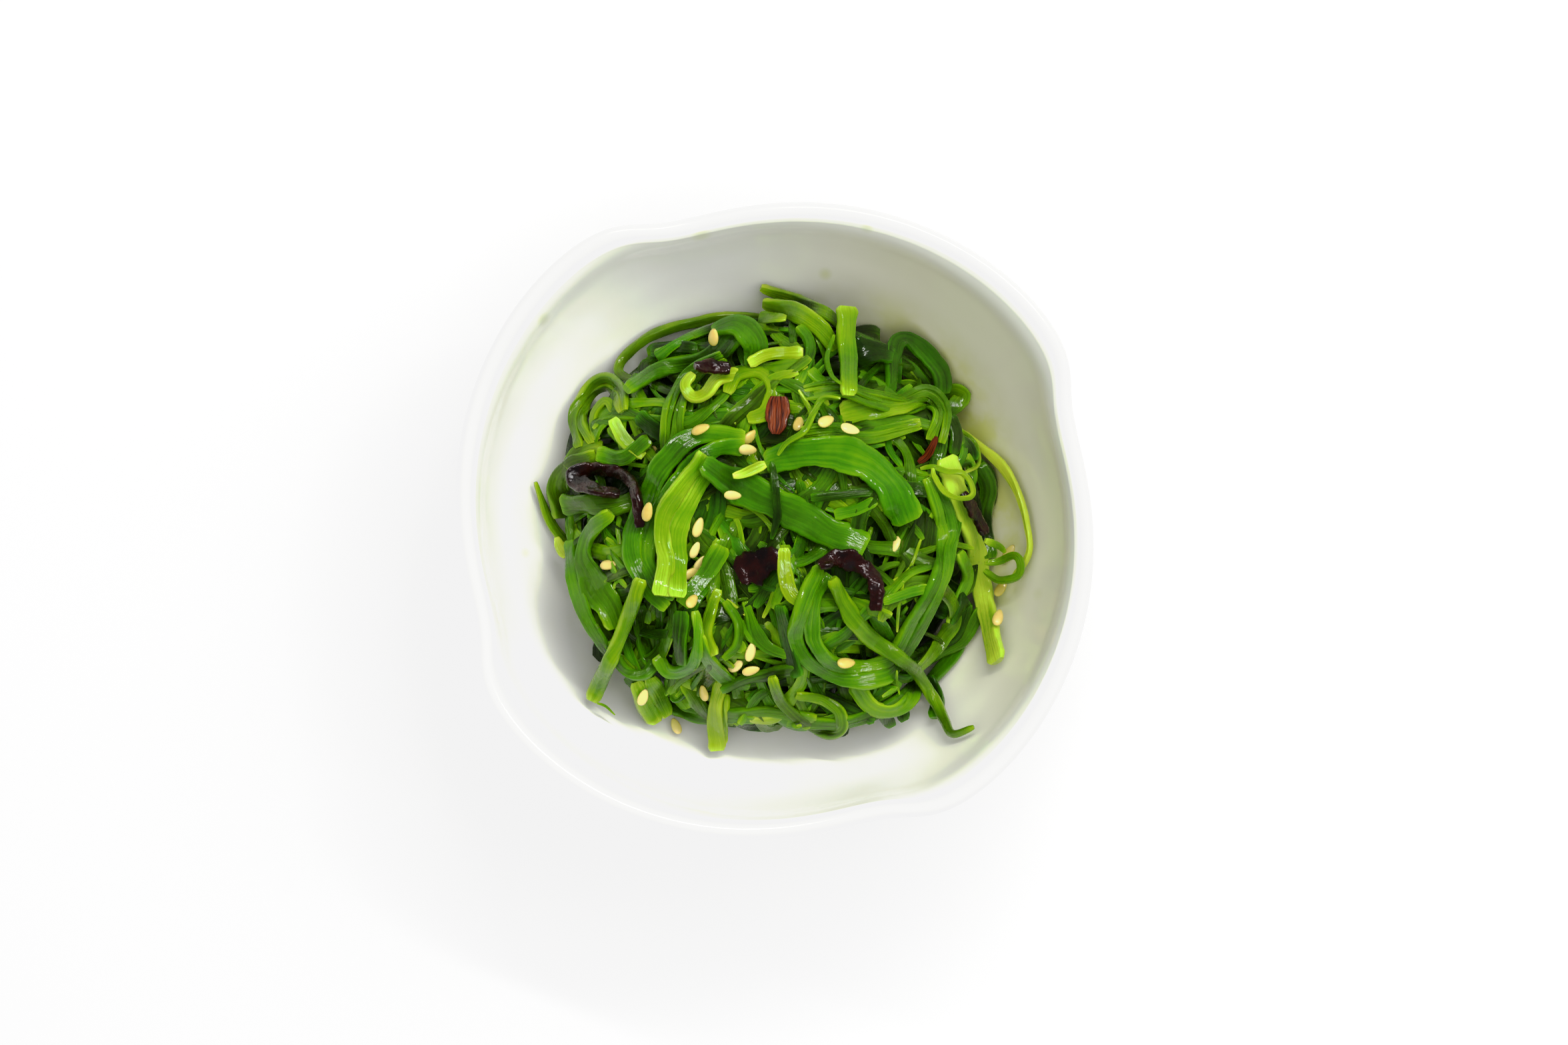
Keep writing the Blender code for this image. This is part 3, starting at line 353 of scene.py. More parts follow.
# Lamps as (name, place and size in metres). A softbox high at the upper right and a fill only give light, and
# the tube is also reflected by what is wet. They all aim at this share of the rim's height.
LAMPS = (
    ("softbox", (0.40, 0.24, 0.76), (0.90, 0.90)),
    ("tube", (0.16, 0.38, 0.62), (0.50, 0.03)),
    ("fill", (-0.14, -0.24, 0.80), (0.50, 0.50)),
)
REFLECTED_LAMP = "tube"
LAMPS_AIM = 0.6

# Where the middle of the picture falls on the rim's plane, from the bowl's axis.
PICTURE_CENTRE = (1.55, -0.33, 0.0)

# How the picture is developed, as (light, brightness): deep shadows go darker and the brightest parts level
# off.
TONE_CURVE = ((0.0, 0.0), (0.03, 0.016), (0.12, 0.097), (0.3, 0.29), (0.48, 0.43), (0.6, 0.53), (0.7, 0.63),
              (0.8, 0.79), (0.92, 0.89), (1.06, 0.895), (1.42, 0.898), (1.6, 0.92), (1.85, 0.95), (2.1, 1.0))

# What a strand's points carry into the tree that sweeps it, and on to its material.
SHAPE_DATA = {"centre": "FLOAT_VECTOR", "across": "FLOAT_VECTOR", "up": "FLOAT_VECTOR", "half_width": "FLOAT",
              "half_thickness": "FLOAT", "fold": "FLOAT"}
LOOK_DATA = {"run": "FLOAT", "tone": "FLOAT", "warmth": "FLOAT", "strand": "FLOAT", "end": "FLOAT"}

# Settings that several nodes share.
POINT_VALUE = {"data_type": "FLOAT", "domain": "POINT"}
SMOOTH = {"interpolation_type": "SMOOTHSTEP"}
MIXED = {"data_type": "RGBA"}
TINTED = {"data_type": "RGBA", "blend_type": "MULTIPLY"}


def colour(code):
    """Linear red, green and blue of an sRGB hex value."""
    parts = [int(code[i:i + 2], 16) / 255 for i in (1, 3, 5)]
    return tuple(part / 12.92 if part <= 0.04045 else ((part + 0.055) / 1.055) ** 2.4 for part in parts)


def add(tree, kind, settings, links):
    """Adds a node, sets its properties, and feeds its inputs from nodes, sockets or plain values.

    A kind in capitals is an operation of the Math node."""
    if kind.isupper():
        kind, settings = "ShaderNodeMath", {"operation": kind}
    made = tree.nodes.new(kind)
    for name, value in settings.items():
        if name == "stops":
            ramp = made.color_ramp.elements
            while len(ramp) < len(value):
                ramp.new(0.5)
            for element, (place, shade) in zip(ramp, value):
                element.position = place
                element.color = (*shade, 1)
        else:
            setattr(made, name, value)
    for key, value in links.items():
        socket = made.inputs[key]
        if isinstance(value, bpy.types.Node):
            tree.links.new(value.outputs[0], socket)
        elif isinstance(value, bpy.types.NodeSocket):
            tree.links.new(value, socket)
        else:
            socket.default_value = value
    return made


class HeightMap:
    """How high the things laid so far reach, on a grid seen from above."""

    def __init__(self, height=None):
        self.side = int(2 * MAP_HALF / CELL) + 1
        self.height = np.zeros((self.side, self.side)) if height is None else height.copy()
        self.widen()

    def add_mesh(self, mesh):
        """Looks down on a mesh and keeps its height where it is the highest."""
        points = np.array([vertex.co[:] for vertex in mesh.vertices]) / MM
        tree = BVHTree.FromPolygons(points.tolist(), [face.vertices[:] for face in mesh.polygons])
        low = np.floor((points.min(0)[:2] + MAP_HALF) / CELL).astype(int)
        high = np.ceil((points.max(0)[:2] + MAP_HALF) / CELL).astype(int)
        down = Vector((0, 0, -1))
        for i in range(max(low[0], 0), min(high[0], self.side - 1) + 1):
            for j in range(max(low[1], 0), min(high[1], self.side - 1) + 1):
                hit = tree.ray_cast(Vector((i * CELL - MAP_HALF, j * CELL - MAP_HALF, ABOVE)), down)[0]
                if hit is not None:
                    self.height[i, j] = max(self.height[i, j], hit.z)
        self.widen()

    def add_points(self, points):
        """Keeps the height of points that cover a surface."""
        cells = np.clip(np.rint((points[..., :2] + MAP_HALF) / CELL).astype(int), 0, self.side - 1)
        np.maximum.at(self.height, (cells[..., 0], cells[..., 1]), points[..., 2])
        self.widen()

    def widen(self):
        """Each cell takes its neighbours' greatest height, so that nothing between cells is missed."""
        padded = np.pad(self.height, 1, mode="edge")
        size = self.side
        shifted = [padded[i:i + size, j:j + size] for i in range(3) for j in range(3)]
        self.wide = np.max(shifted, axis=0)

    def at(self, places):
        cells = np.clip(np.rint((places + MAP_HALF) / CELL).astype(int), 0, self.side - 1)
        return self.wide[cells[..., 0], cells[..., 1]]


@functools.cache
def maps_before():
    """The height map as it is before each solid of the frame is laid, and after the last one."""
    order = ["bowl", "wakame_bed"] + [f"strip_{row[0]}" for row in STRIPS]
    order += [f"wood_ear_{row[0]}" for row in WOOD_EAR] + [f"chilli_{row[0]}" for row in CHILLI]
    order += [f"sesame_{number:02d}" for number in range(1, len(SESAME) + 1)]
    so_far = HeightMap()
    found = {}
    for name in order:
        found[name] = HeightMap(so_far.height)
        so_far.add_mesh(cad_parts[name].data)
    found["end"] = so_far
    return found


def smooth_curve(points, samples):
    """Points on the smooth curve that runs through the given ones, with samples to each span."""
    points = np.array(points, float)
    ends = np.vstack([2 * points[:1] - points[1:2], points, 2 * points[-1:] - points[-2:-1]])
    a, b, c, d = (ends[k:len(ends) - 3 + k, None] for k in range(4))
    t = np.linspace(0, 1, samples, endpoint=False)[None, :, None]
    fine = 0.5 * (2 * b + (c - a) * t + (2 * a - 5 * b + 4 * c - d) * t**2 + (3 * b - a - 3 * c + d) * t**3)
    return np.vstack([fine.reshape(-1, points.shape[1]), points[-1:]])


def spline(points):
    """Evenly spaced places on a smooth curve through points seen from above, and how far along they are."""
    fine = smooth_curve(points, SPLINE_SAMPLES)
    run = np.concatenate([[0], np.cumsum(np.linalg.norm(np.diff(fine, axis=0), axis=1))])
    places = np.linspace(0, run[-1], max(4, round(run[-1] / STEP) + 1))
    return np.column_stack([np.interp(places, run, fine[:, k]) for k in (0, 1)]), places


def along(values, count):
    """The given values spread evenly along a strip."""
    return np.interp(np.linspace(0, 1, count), np.linspace(0, 1, len(values)), values)


def smoothed(values, times):
    for _ in range(times):
        padded = np.concatenate([values[:1], values, values[-1:]])
        values = (padded[:-2] + 2 * padded[1:-1] + padded[2:]) / 4
    return values


def frames(path, bank):
    """Across and up vectors of each section of a path, turned by the bank about the path."""
    forward = np.gradient(path, axis=0)
    forward /= np.linalg.norm(forward, axis=1)[:, None]
    across = np.cross(forward, (0, 0, 1))
    across /= np.linalg.norm(across, axis=1)[:, None]
    up = np.cross(across, forward)
    turn, rise = np.cos(bank)[:, None], np.sin(bank)[:, None]
    return across * turn + up * rise, up * turn - across * rise


def sections(path, widths, thickness, bank):
    """Points of every plain section of a strip, as an array of sections by points by three."""
    across, up = frames(path, bank)
    half = SECTION[None, :, 0] * widths[:, None] / 2
    rise = SECTION[None, :, 1] * np.minimum(thickness, THICKEST_SHARE * widths)[:, None] / 2
    return path[:, None, :] + across[:, None, :] * half[..., None] + up[:, None, :] * rise[..., None]


def laid(points, widths, thickness, rests):
    """Lowers a strip onto what is below, where rests are (height map, gap): its path, widths and bank."""
    flat, run = spline(points)
    widths = along(widths, len(flat))
    level = np.column_stack([flat, np.zeros(len(flat))])
    across, _ = frames(level, np.zeros(len(flat)))
    edge = across[:, :2] * widths[:, None] / 2
    ground = np.max([rest.at(flat) + gap for rest, gap in rests], axis=0)
    lean = rests[-1][0].at(flat + edge) - rests[-1][0].at(flat - edge)
    bank = smoothed(np.clip(np.arctan(lean / widths), -STEEPEST, STEEPEST), BANK_SMOOTHING)
    height = smoothed(ground + thickness, HEIGHT_SMOOTHING)
    apart = np.linalg.norm(flat[:, None] - flat[None], axis=2)
    crossing = (run[None, :] - run[:, None] > LAP * widths.mean()) & (apart < widths.mean())
    for _ in range(ROUNDS):
        path = np.column_stack([flat, height])
        ring = sections(path, widths, thickness, bank)
        drop = ring[..., 2] - height[:, None]
        need = np.max([rest.at(ring[..., :2]) + gap - drop for rest, gap in rests], axis=0).max(axis=1)
        over = np.where(crossing, height[:, None] + thickness + GAP, -np.inf).max(axis=0)
        least = np.maximum(need, over)
        height = least.copy()
        for _ in range(SETTLING):
            height = np.maximum(least, smoothed(height, 1))
        short = np.maximum(0, least - smoothed(height, LAST_SMOOTHING))
        spread = np.maximum.reduce([np.roll(short, k) for k in (-2, -1, 0, 1, 2)])
        height = smoothed(height, LAST_SMOOTHING) + smoothed(spread, LIFT_SMOOTHING)
    return np.column_stack([flat, height]), widths, bank


def wander(rng, count, pace):
    """A slow random wave between about -1 and 1, read at each place along a strand."""
    places = np.arange(count) * STEP / pace
    return sum(np.sin(places * rng.uniform(0.6, 1.9) + rng.uniform(0, math.tau)) for _ in range(3)) / 2


def strands(rng, way, thickness, tone, warmth, count=1, fold=0.0, roll=0.15, taper=0.0):
    """Turns a laid path into one strand, or several side by side, with the small unevenness of a plant."""
    path, widths, bank = way
    number = len(path)
    across, up = frames(path, bank + roll * wander(rng, number, 5.0))
    ends = np.arange(number) * STEP
    from_end = np.minimum(ends, ends[::-1])
    rounded = np.clip(ROUND_END + (1 - ROUND_END) * from_end / STEP, 0, 1)
    narrow = 1 - taper * np.clip(1 - from_end / TAPER_LENGTH, 0, 1) ** 1.5
    found = []
    for k in range(count):
        share = (k + 0.5) / count - 0.5
        swing = share + (SIDE_SWING / count * wander(rng, number, 4.0) if count > 1 else 0)
        lift = SIDE_LIFT * wander(rng, number, 4.0) if count > 1 else np.zeros(number)
        centre = path + across * (swing * widths)[:, None] * SIDE_SPREAD + up * lift[:, None]
        own = widths / count * (SIDE_WIDTH if count > 1 else 1.0)
        half_width = own / 2 * (1 + UNEVEN * wander(rng, number, 3.0)) * rounded * narrow
        half_thickness = np.minimum(thickness, THICKEST_SHARE * own) / 2 * rounded * narrow
        found.append({
            "centre": centre * MM, "across": across, "up": up, "half_width": half_width * MM,
            "half_thickness": half_thickness * (1 + UNEVEN * wander(rng, number, 3.0)) * MM,
            "fold": fold * half_thickness * MM * (1 + UNEVEN_FOLD * wander(rng, number, 6.0)),
            "run": ends * MM, "strand": np.full(number, rng.random()), "end": np.exp(-from_end / PAINTED_GLOW_END),
            "tone": tone + rng.uniform(-0.05, 0.05) + 0.05 * wander(rng, number, 5.0),
            "warmth": warmth + rng.uniform(-0.08, 0.08) + 0.08 * wander(rng, number, 8.0),
        })
    return found


def finer(values, times=2):
    """A strand's values at more places along it."""
    table = values.reshape(len(values), -1)
    return smooth_curve(table, times).reshape(-1, *values.shape[1:])


def linked(name, data):
    """A new object of some data, in the scene."""
    made = bpy.data.objects.new(name, data)
    bpy.context.scene.collection.objects.link(made)
    return made


def write(mesh, name, values, kind="FLOAT"):
    """Keeps a value, or a vector, on each point of a mesh."""
    kept = mesh.attributes.new(name, kind, "POINT")
    field = "vector" if kind == "FLOAT_VECTOR" else "value"
    kept.data.foreach_set(field, np.array(values, np.float32).ravel())


def settled(made, tree, inputs):
    """Runs a tree on an object, and keeps what it makes as the object's plain mesh."""
    live = made.modifiers.new(tree.name, "NODES")
    live.node_group = tree
    for item in tree.interface.items_tree:
        if item.in_out == "INPUT" and item.name in inputs:
            live[item.identifier] = inputs[item.name]
    bpy.context.view_layer.update()
    graph = bpy.context.evaluated_depsgraph_get()
    mesh = bpy.data.meshes.new_from_object(made.evaluated_get(graph))
    rough = made.data
    made.modifiers.clear()
    made.data = mesh
    mesh.name = made.name
    bpy.data.meshes.remove(rough)
    for name in ("angle", "reach", "level", *SHAPE_DATA):
        if name in mesh.attributes:
            mesh.attributes.remove(mesh.attributes[name])
    mesh.set_sharp_from_angle(angle=math.radians(50))
    return made


def turned(name, section, inputs):
    """One piece from its half section, given as (radius, height), turned round the axis."""
    mesh = bpy.data.meshes.new(name)
    edges = [(i, i + 1) for i in range(len(section) - 1)]
    mesh.from_pydata([(radius * MM, 0, height * MM) for radius, height in section], edges, [])
    for column, key in enumerate(("reach", "level")):
        write(mesh, key, np.array(section)[:, column] * MM)
    return settled(linked(name, mesh), bowl_tree(), inputs)


def swept(name, all_strands, finish, shape):
    """One piece from all its strands: a line for each, which the tree gives its section."""
    data = {key: [] for key in (*SHAPE_DATA, *LOOK_DATA)}
    edges, start = [], 0
    for one in all_strands:
        for key, values in data.items():
            values.append(finer(one[key]))
        number = len(data["run"][-1])
        edges += [(start + i, start + i + 1) for i in range(number - 1)]
        start += number
    mesh = bpy.data.meshes.new(name)
    mesh.from_pydata(np.concatenate(data["centre"]).tolist(), edges, [])
    for key, kind in {**SHAPE_DATA, **LOOK_DATA}.items():
        write(mesh, key, np.concatenate(data[key]), kind)
    return settled(linked(name, mesh), strand_tree(), {"Finish": finish, **shape})


def started(name, geometry, sizes):
    """A new geometry tree and its inputs: the geometry that it works on, its sizes and its finish."""
    tree = bpy.data.node_groups.new(name, "GeometryNodeTree")
    for label, kind in ((geometry, "Geometry"), *sizes.items(), ("Finish", "Material")):
        tree.interface.new_socket(label, in_out="INPUT", socket_type="NodeSocket" + kind)
    tree.interface.new_socket("Finished", in_out="OUTPUT", socket_type="NodeSocketGeometry")
    return tree, tree.nodes.new("NodeGroupInput").outputs


def ended(tree, given, shaped):
    """Ends a geometry tree: what it shaped is made real and given its finish."""
    real = add(tree, "GeometryNodeRealizeInstances", {}, {"Geometry": shaped})
    finished = add(tree, "GeometryNodeSetMaterial", {}, {"Geometry": real, "Material": given["Finish"]})
    out = tree.nodes.new("NodeGroupOutput")
    tree.links.new(finished.outputs[0], out.inputs[0])
    return tree


def ring_with_angle(tree, points):
    """A circle of unit radius, with the angle of each of its points kept on it."""
    ring = add(tree, "GeometryNodeCurvePrimitiveCircle", {}, {"Resolution": points})
    turn = add(tree, "GeometryNodeSplineParameter", {}, {})
    angle = add(tree, "MULTIPLY", {}, {0: turn, 1: math.tau})
    return add(tree, "GeometryNodeStoreNamedAttribute", POINT_VALUE,
               {"Geometry": ring, "Name": "angle", "Value": angle})


@functools.cache
def strand_tree():
    """Geometry nodes that sweep a rounded, ridged section with waved edges along each strand."""
    sizes = ("Squareness", "Ridges", "Ridge depth", "Ridge length", "Edge wave", "Wave length")
    sizes = {"Section points": "Int", **dict.fromkeys(sizes, "Float")}
    tree, given = started("sweep strands", "Strands", sizes)
    data = {name: add(tree, "GeometryNodeInputNamedAttribute", {"data_type": kind}, {"Name": name})
            for name, kind in {**SHAPE_DATA, **LOOK_DATA, "angle": "FLOAT"}.items()}
    lines = add(tree, "GeometryNodeMeshToCurve", {}, {"Mesh": given["Strands"]})
    ring = ring_with_angle(tree, given["Section points"])
    body = add(tree, "GeometryNodeCurveToMesh", {},
               {"Curve": lines, "Profile Curve": ring, "Fill Caps": True})
    reach = {}
    for name, operation in (("side", "COSINE"), ("rise", "SINE")):
        wave = add(tree, operation, {}, {0: data["angle"]})
        size = add(tree, "ABSOLUTE", {}, {0: wave})
        size = add(tree, "POWER", {}, {0: size, 1: given["Squareness"]})
        sign = add(tree, "SIGN", {}, {0: wave})
        reach[name] = add(tree, "MULTIPLY", {}, {0: size, 1: sign})
    side, rise = reach["side"], reach["rise"]
    kept = add(tree, "GeometryNodeStoreNamedAttribute", POINT_VALUE,
               {"Geometry": body, "Name": "side", "Value": side})

    # Noise for the edge wave is read on each edge by itself, and noise for the ridges on each face.
    own = add(tree, "MULTIPLY", {}, {0: data["strand"], 1: 97.0})
    apart = {}
    for name, value, distance in (("edge", side, 5.0), ("face", rise, 3.0)):
        sign = add(tree, "SIGN", {}, {0: value})
        apart[name] = add(tree, "MULTIPLY_ADD", {}, {0: sign, 1: distance, 2: own})
    far = add(tree, "DIVIDE", {}, {0: data["run"], 1: given["Wave length"]})
    place = add(tree, "ShaderNodeCombineXYZ", {}, {"X": far, "Y": apart["edge"]})
    wave = add(tree, "ShaderNodeTexNoise", {}, {"Vector": place, "Scale": 1.0, "Detail": 2.0})
    wave = add(tree, "SUBTRACT", {}, {0: wave, 1: 0.5})
    wave = add(tree, "MULTIPLY_ADD", {}, {0: wave, 1: given["Edge wave"], 2: 1.0})
    width = add(tree, "MULTIPLY", {}, {0: data["half_width"], 1: side})
    width = add(tree, "MULTIPLY", {}, {0: width, 1: wave})
    far = add(tree, "DIVIDE", {}, {0: data["run"], 1: given["Ridge length"]})
    beside = add(tree, "MULTIPLY", {}, {0: side, 1: given["Ridges"]})
    place = add(tree, "ShaderNodeCombineXYZ", {}, {"X": beside, "Y": far, "Z": apart["face"]})
    ridge = add(tree, "ShaderNodeTexNoise", {}, {"Vector": place, "Scale": 1.0, "Detail": 2.0})
    for operation, value in (("SUBTRACT", 0.5), ("MULTIPLY", given["Ridge depth"]),
                             ("ADD", data["half_thickness"])):
        ridge = add(tree, operation, {}, {0: ridge, 1: value})

    # The fold lifts both edges and lowers the middle.
    bent = add(tree, "MULTIPLY_ADD", {}, {0: side, 1: side, 2: -0.35})
    bent = add(tree, "MULTIPLY", {}, {0: bent, 1: data["fold"]})
    height = add(tree, "MULTIPLY_ADD", {}, {0: rise, 1: ridge, 2: bent})
    spot = data["centre"]
    for way, amount in ((data["up"], height), (data["across"], width)):
        spot = add(tree, "ShaderNodeVectorMath", {"operation": "MULTIPLY_ADD"}, {0: way, 1: amount, 2: spot})
    shaped = add(tree, "GeometryNodeSetPosition", {}, {"Geometry": kept, "Position": spot})
    soft = add(tree, "GeometryNodeSetShadeSmooth", {}, {"Geometry": shaped, "Shade Smooth": True})
    return ended(tree, given, soft)


@functools.cache
def bowl_tree():
    """Geometry nodes that turn the half section round the axis and pinch the wall between foot and rim."""
    sizes = ("Pinches", "Pinch angle", "Depth", "Skew", "Rim wave", "Start", "Rim height")
    sizes = {"Around": "Int", **dict.fromkeys(sizes, "Float")}
    tree, given = started("pinched bowl", "Half section", sizes)
    data = {name: add(tree, "GeometryNodeInputNamedAttribute", {"data_type": "FLOAT"}, {"Name": name})
            for name in ("reach", "level", "angle")}
    section = add(tree, "GeometryNodeMeshToCurve", {}, {"Mesh": given["Half section"]})
    ring = ring_with_angle(tree, given["Around"])
    wall = add(tree, "GeometryNodeCurveToMesh", {}, {"Curve": ring, "Profile Curve": section})

    # A skewed wave round the bowl swings the wall in and out, more and more towards the rim.
    phase = add(tree, "SUBTRACT", {}, {0: data["angle"], 1: given["Pinch angle"]})
    phase = add(tree, "MULTIPLY", {}, {0: phase, 1: given["Pinches"]})
    sine = add(tree, "SINE", {}, {0: phase})
    cosine = add(tree, "COSINE", {}, {0: phase})
    top = add(tree, "MULTIPLY", {}, {0: sine, 1: given["Skew"]})
    low = add(tree, "MULTIPLY", {}, {0: cosine, 1: given["Skew"]})
    low = add(tree, "SUBTRACT", {}, {0: 1.0, 1: low})
    swirl = add(tree, "ARCTAN2", {}, {0: top, 1: low})
    most = add(tree, "ARCSINE", {}, {0: given["Skew"]})
    swirl = add(tree, "DIVIDE", {}, {0: swirl, 1: most})
    grown = add(tree, "ShaderNodeMapRange", {"clamp": True},
                {"Value": data["level"], "From Min": given["Start"], "From Max": given["Rim height"]})
    grown = add(tree, "POWER", {}, {0: grown, 1: 1.5})
    swirl = add(tree, "MULTIPLY", {}, {0: swirl, 1: grown})
    wider = add(tree, "MULTIPLY_ADD", {}, {0: swirl, 1: given["Depth"], 2: 1.0})
    radius = add(tree, "MULTIPLY", {}, {0: data["reach"], 1: wider})
    height = add(tree, "MULTIPLY_ADD", {}, {0: swirl, 1: given["Rim wave"], 2: data["level"]})
    flat = {}
    for name, operation in (("X", "COSINE"), ("Y", "SINE")):
        flat[name] = add(tree, operation, {}, {0: data["angle"]})
        flat[name] = add(tree, "MULTIPLY", {}, {0: flat[name], 1: radius})
    spot = add(tree, "ShaderNodeCombineXYZ", {}, {**flat, "Z": height})
    shaped = add(tree, "GeometryNodeSetPosition", {}, {"Geometry": wall, "Position": spot})
    closed = add(tree, "GeometryNodeMergeByDistance", {}, {"Geometry": shaped, "Distance": 0.02 * MM})
    soft = add(tree, "GeometryNodeSetShadeSmooth", {}, {"Geometry": closed, "Shade Smooth": True})
    return ended(tree, given, soft)


@functools.cache
def seed_tree():
    """Geometry nodes that set a sesame seed on each point: a ball drawn out to a point at one end."""
    sizes = ("Length", "Width", "Thickness", "Point")
    tree, given = started("sesame seeds", "Places", dict.fromkeys(sizes, "Float"))
    ball = add(tree, "GeometryNodeMeshUVSphere", {}, {"Segments": 14, "Rings": 10, "Radius": 0.5})
    spot = add(tree, "GeometryNodeInputPosition", {}, {})
    parts = add(tree, "ShaderNodeSeparateXYZ", {}, {"Vector": spot})
    slim = add(tree, "ADD", {}, {0: parts.outputs["Z"], 1: 0.5})
    slim = add(tree, "MULTIPLY", {}, {0: slim, 1: given["Point"]})
    slim = add(tree, "SUBTRACT", {}, {0: 1.0, 1: slim})
    wide = add(tree, "MULTIPLY", {}, {0: parts.outputs["X"], 1: slim})
    thick = add(tree, "MULTIPLY", {}, {0: parts.outputs["Y"], 1: slim})
    sized = {"X": (parts.outputs["Z"], "Length"), "Y": (wide, "Width"), "Z": (thick, "Thickness")}
    sized = {axis: add(tree, "MULTIPLY", {}, {0: value, 1: given[name]})
             for axis, (value, name) in sized.items()}
    drawn = add(tree, "ShaderNodeCombineXYZ", {}, sized)
    kept = add(tree, "GeometryNodeStoreNamedAttribute", POINT_VALUE,
               {"Geometry": ball, "Name": "tip", "Value": parts.outputs["Z"]})
    seed = add(tree, "GeometryNodeSetPosition", {}, {"Geometry": kept, "Position": drawn})
    seed = add(tree, "GeometryNodeSetShadeSmooth", {}, {"Geometry": seed, "Shade Smooth": True})
    turn = add(tree, "GeometryNodeInputNamedAttribute", {"data_type": "FLOAT_VECTOR"}, {"Name": "turn"})
    turn = add(tree, "FunctionNodeEulerToRotation", {}, {"Euler": turn})
    size = add(tree, "GeometryNodeInputNamedAttribute", {"data_type": "FLOAT"}, {"Name": "size"})
    placed = add(tree, "GeometryNodeInstanceOnPoints", {},
                 {"Points": given["Places"], "Instance": seed, "Rotation": turn, "Scale": size})
    return ended(tree, given, placed)


def shader_of(name, settings):
    """A new material with a Principled shader, and the values that are the same all over it."""
    made = bpy.data.materials.new(name)
    made.use_nodes = True
    tree = made.node_tree
    tree.nodes.clear()
    shader = add(tree, "ShaderNodeBsdfPrincipled", {}, settings)
    add(tree, "ShaderNodeOutputMaterial", {}, {"Surface": shader})
    return made, tree, shader


@functools.cache
def dressed_wakame():
    """Blanched, dressed seaweed: translucent flesh with fibres along it, wet with oil and vinegar.

    Light enters and leaves it. Its thin edges and cut ends are also painted brighter than the middle, as
    painted light that passes through, and the film of dressing on it gives sharp small glints over a soft
    sheen."""
    look = bpy.context.scene.salad_wakame
    made, tree, shader = shader_of("dressed_wakame", {
        "IOR": 1.38, "Specular IOR Level": 0.08, "Subsurface Weight": look.depth,
        "Subsurface Radius": (0.35, 1.0, 0.12), "Subsurface Scale": look.glow, "Coat Weight": look.wet,
        "Coat Roughness": 0.08, "Coat IOR": 1.45})
    data = {name: add(tree, "ShaderNodeAttribute", {"attribute_name": name}, {}).outputs["Fac"]
            for name in ("tone", "warmth", "run", "side", "strand", "end")}
    place = add(tree, "ShaderNodeTexCoord", {}, {}).outputs["Object"]

    # Fibres: about ten across a strip, 12 mm long, and unlike from strand to strand.
    across = add(tree, "MULTIPLY", {}, {0: data["side"], 1: 5.0})
    far = add(tree, "DIVIDE", {}, {0: data["run"], 1: 12 * MM})
    own = add(tree, "MULTIPLY", {}, {0: data["strand"], 1: 83.0})
    lines = add(tree, "ShaderNodeCombineXYZ", {}, {"X": across, "Y": far, "Z": own})
    fibres = add(tree, "ShaderNodeTexNoise", {}, {"Vector": lines, "Scale": 1.0, "Detail": 3.0})
    blotches = add(tree, "ShaderNodeTexNoise", {}, {"Vector": place, "Scale": 1 / (5 * MM), "Detail": 2.0})
    # Painted light: the edges are painted paler, as if light passed through them.
    edge = add(tree, "POWER", {}, {0: data["side"], 1: 6.0})

    # Tone: its own, plus fibres, blotches, and painted light that makes the edges and cut ends paler.
    tone = data["tone"]
    for source, share, offset in ((fibres, look.fibre, 0.5), (blotches, 0.30, 0.5), (edge, 0.14, 0.0),
                                  (data["end"], 0.22, 0.0)):
        part = add(tree, "SUBTRACT", {}, {0: source, 1: offset})
        tone = add(tree, "MULTIPLY_ADD", {}, {0: part, 1: share, 2: tone})
    ramps = []
    for family in ("green", "warm"):
        shades = [tuple(getattr(look, f"{family}_{number}")) for number in range(1, 6)]
        stops = list(zip((0.0, 0.28, 0.52, 0.74, 1.0), shades))
        ramps.append(add(tree, "ShaderNodeValToRGB", {"stops": stops}, {"Fac": tone}))
    shade = add(tree, "ShaderNodeMix", MIXED, {"Factor": data["warmth"], 6: ramps[0], 7: ramps[1]})
    tree.links.new(shade.outputs[2], shader.inputs["Base Color"])

    # Dressing lies unevenly: its film is smooth in places and broken in others, at about 2 mm.
    film = add(tree, "ShaderNodeTexNoise", {}, {"Vector": place, "Scale": 1 / (2 * MM), "Detail": 2.0})
    rough = add(tree, "ShaderNodeMapRange", {}, {"Value": film, "From Min": 0.35, "From Max": 0.65,
                                                 "To Min": 0.24, "To Max": 0.50})
    tree.links.new(rough.outputs[0], shader.inputs["Roughness"])
    beads = add(tree, "ShaderNodeTexNoise", {}, {"Vector": place, "Scale": 1 / (1.1 * MM), "Detail": 1.5})
    low = add(tree, "ShaderNodeBump", {}, {"Height": fibres, "Strength": 0.5, "Distance": 0.25 * MM})
    bump = add(tree, "ShaderNodeBump", {},
               {"Height": beads, "Strength": 0.6, "Distance": 0.18 * MM, "Normal": low})
    tree.links.new(bump.outputs[0], shader.inputs["Normal"])
    tree.links.new(bump.outputs[0], shader.inputs["Coat Normal"])
    return made


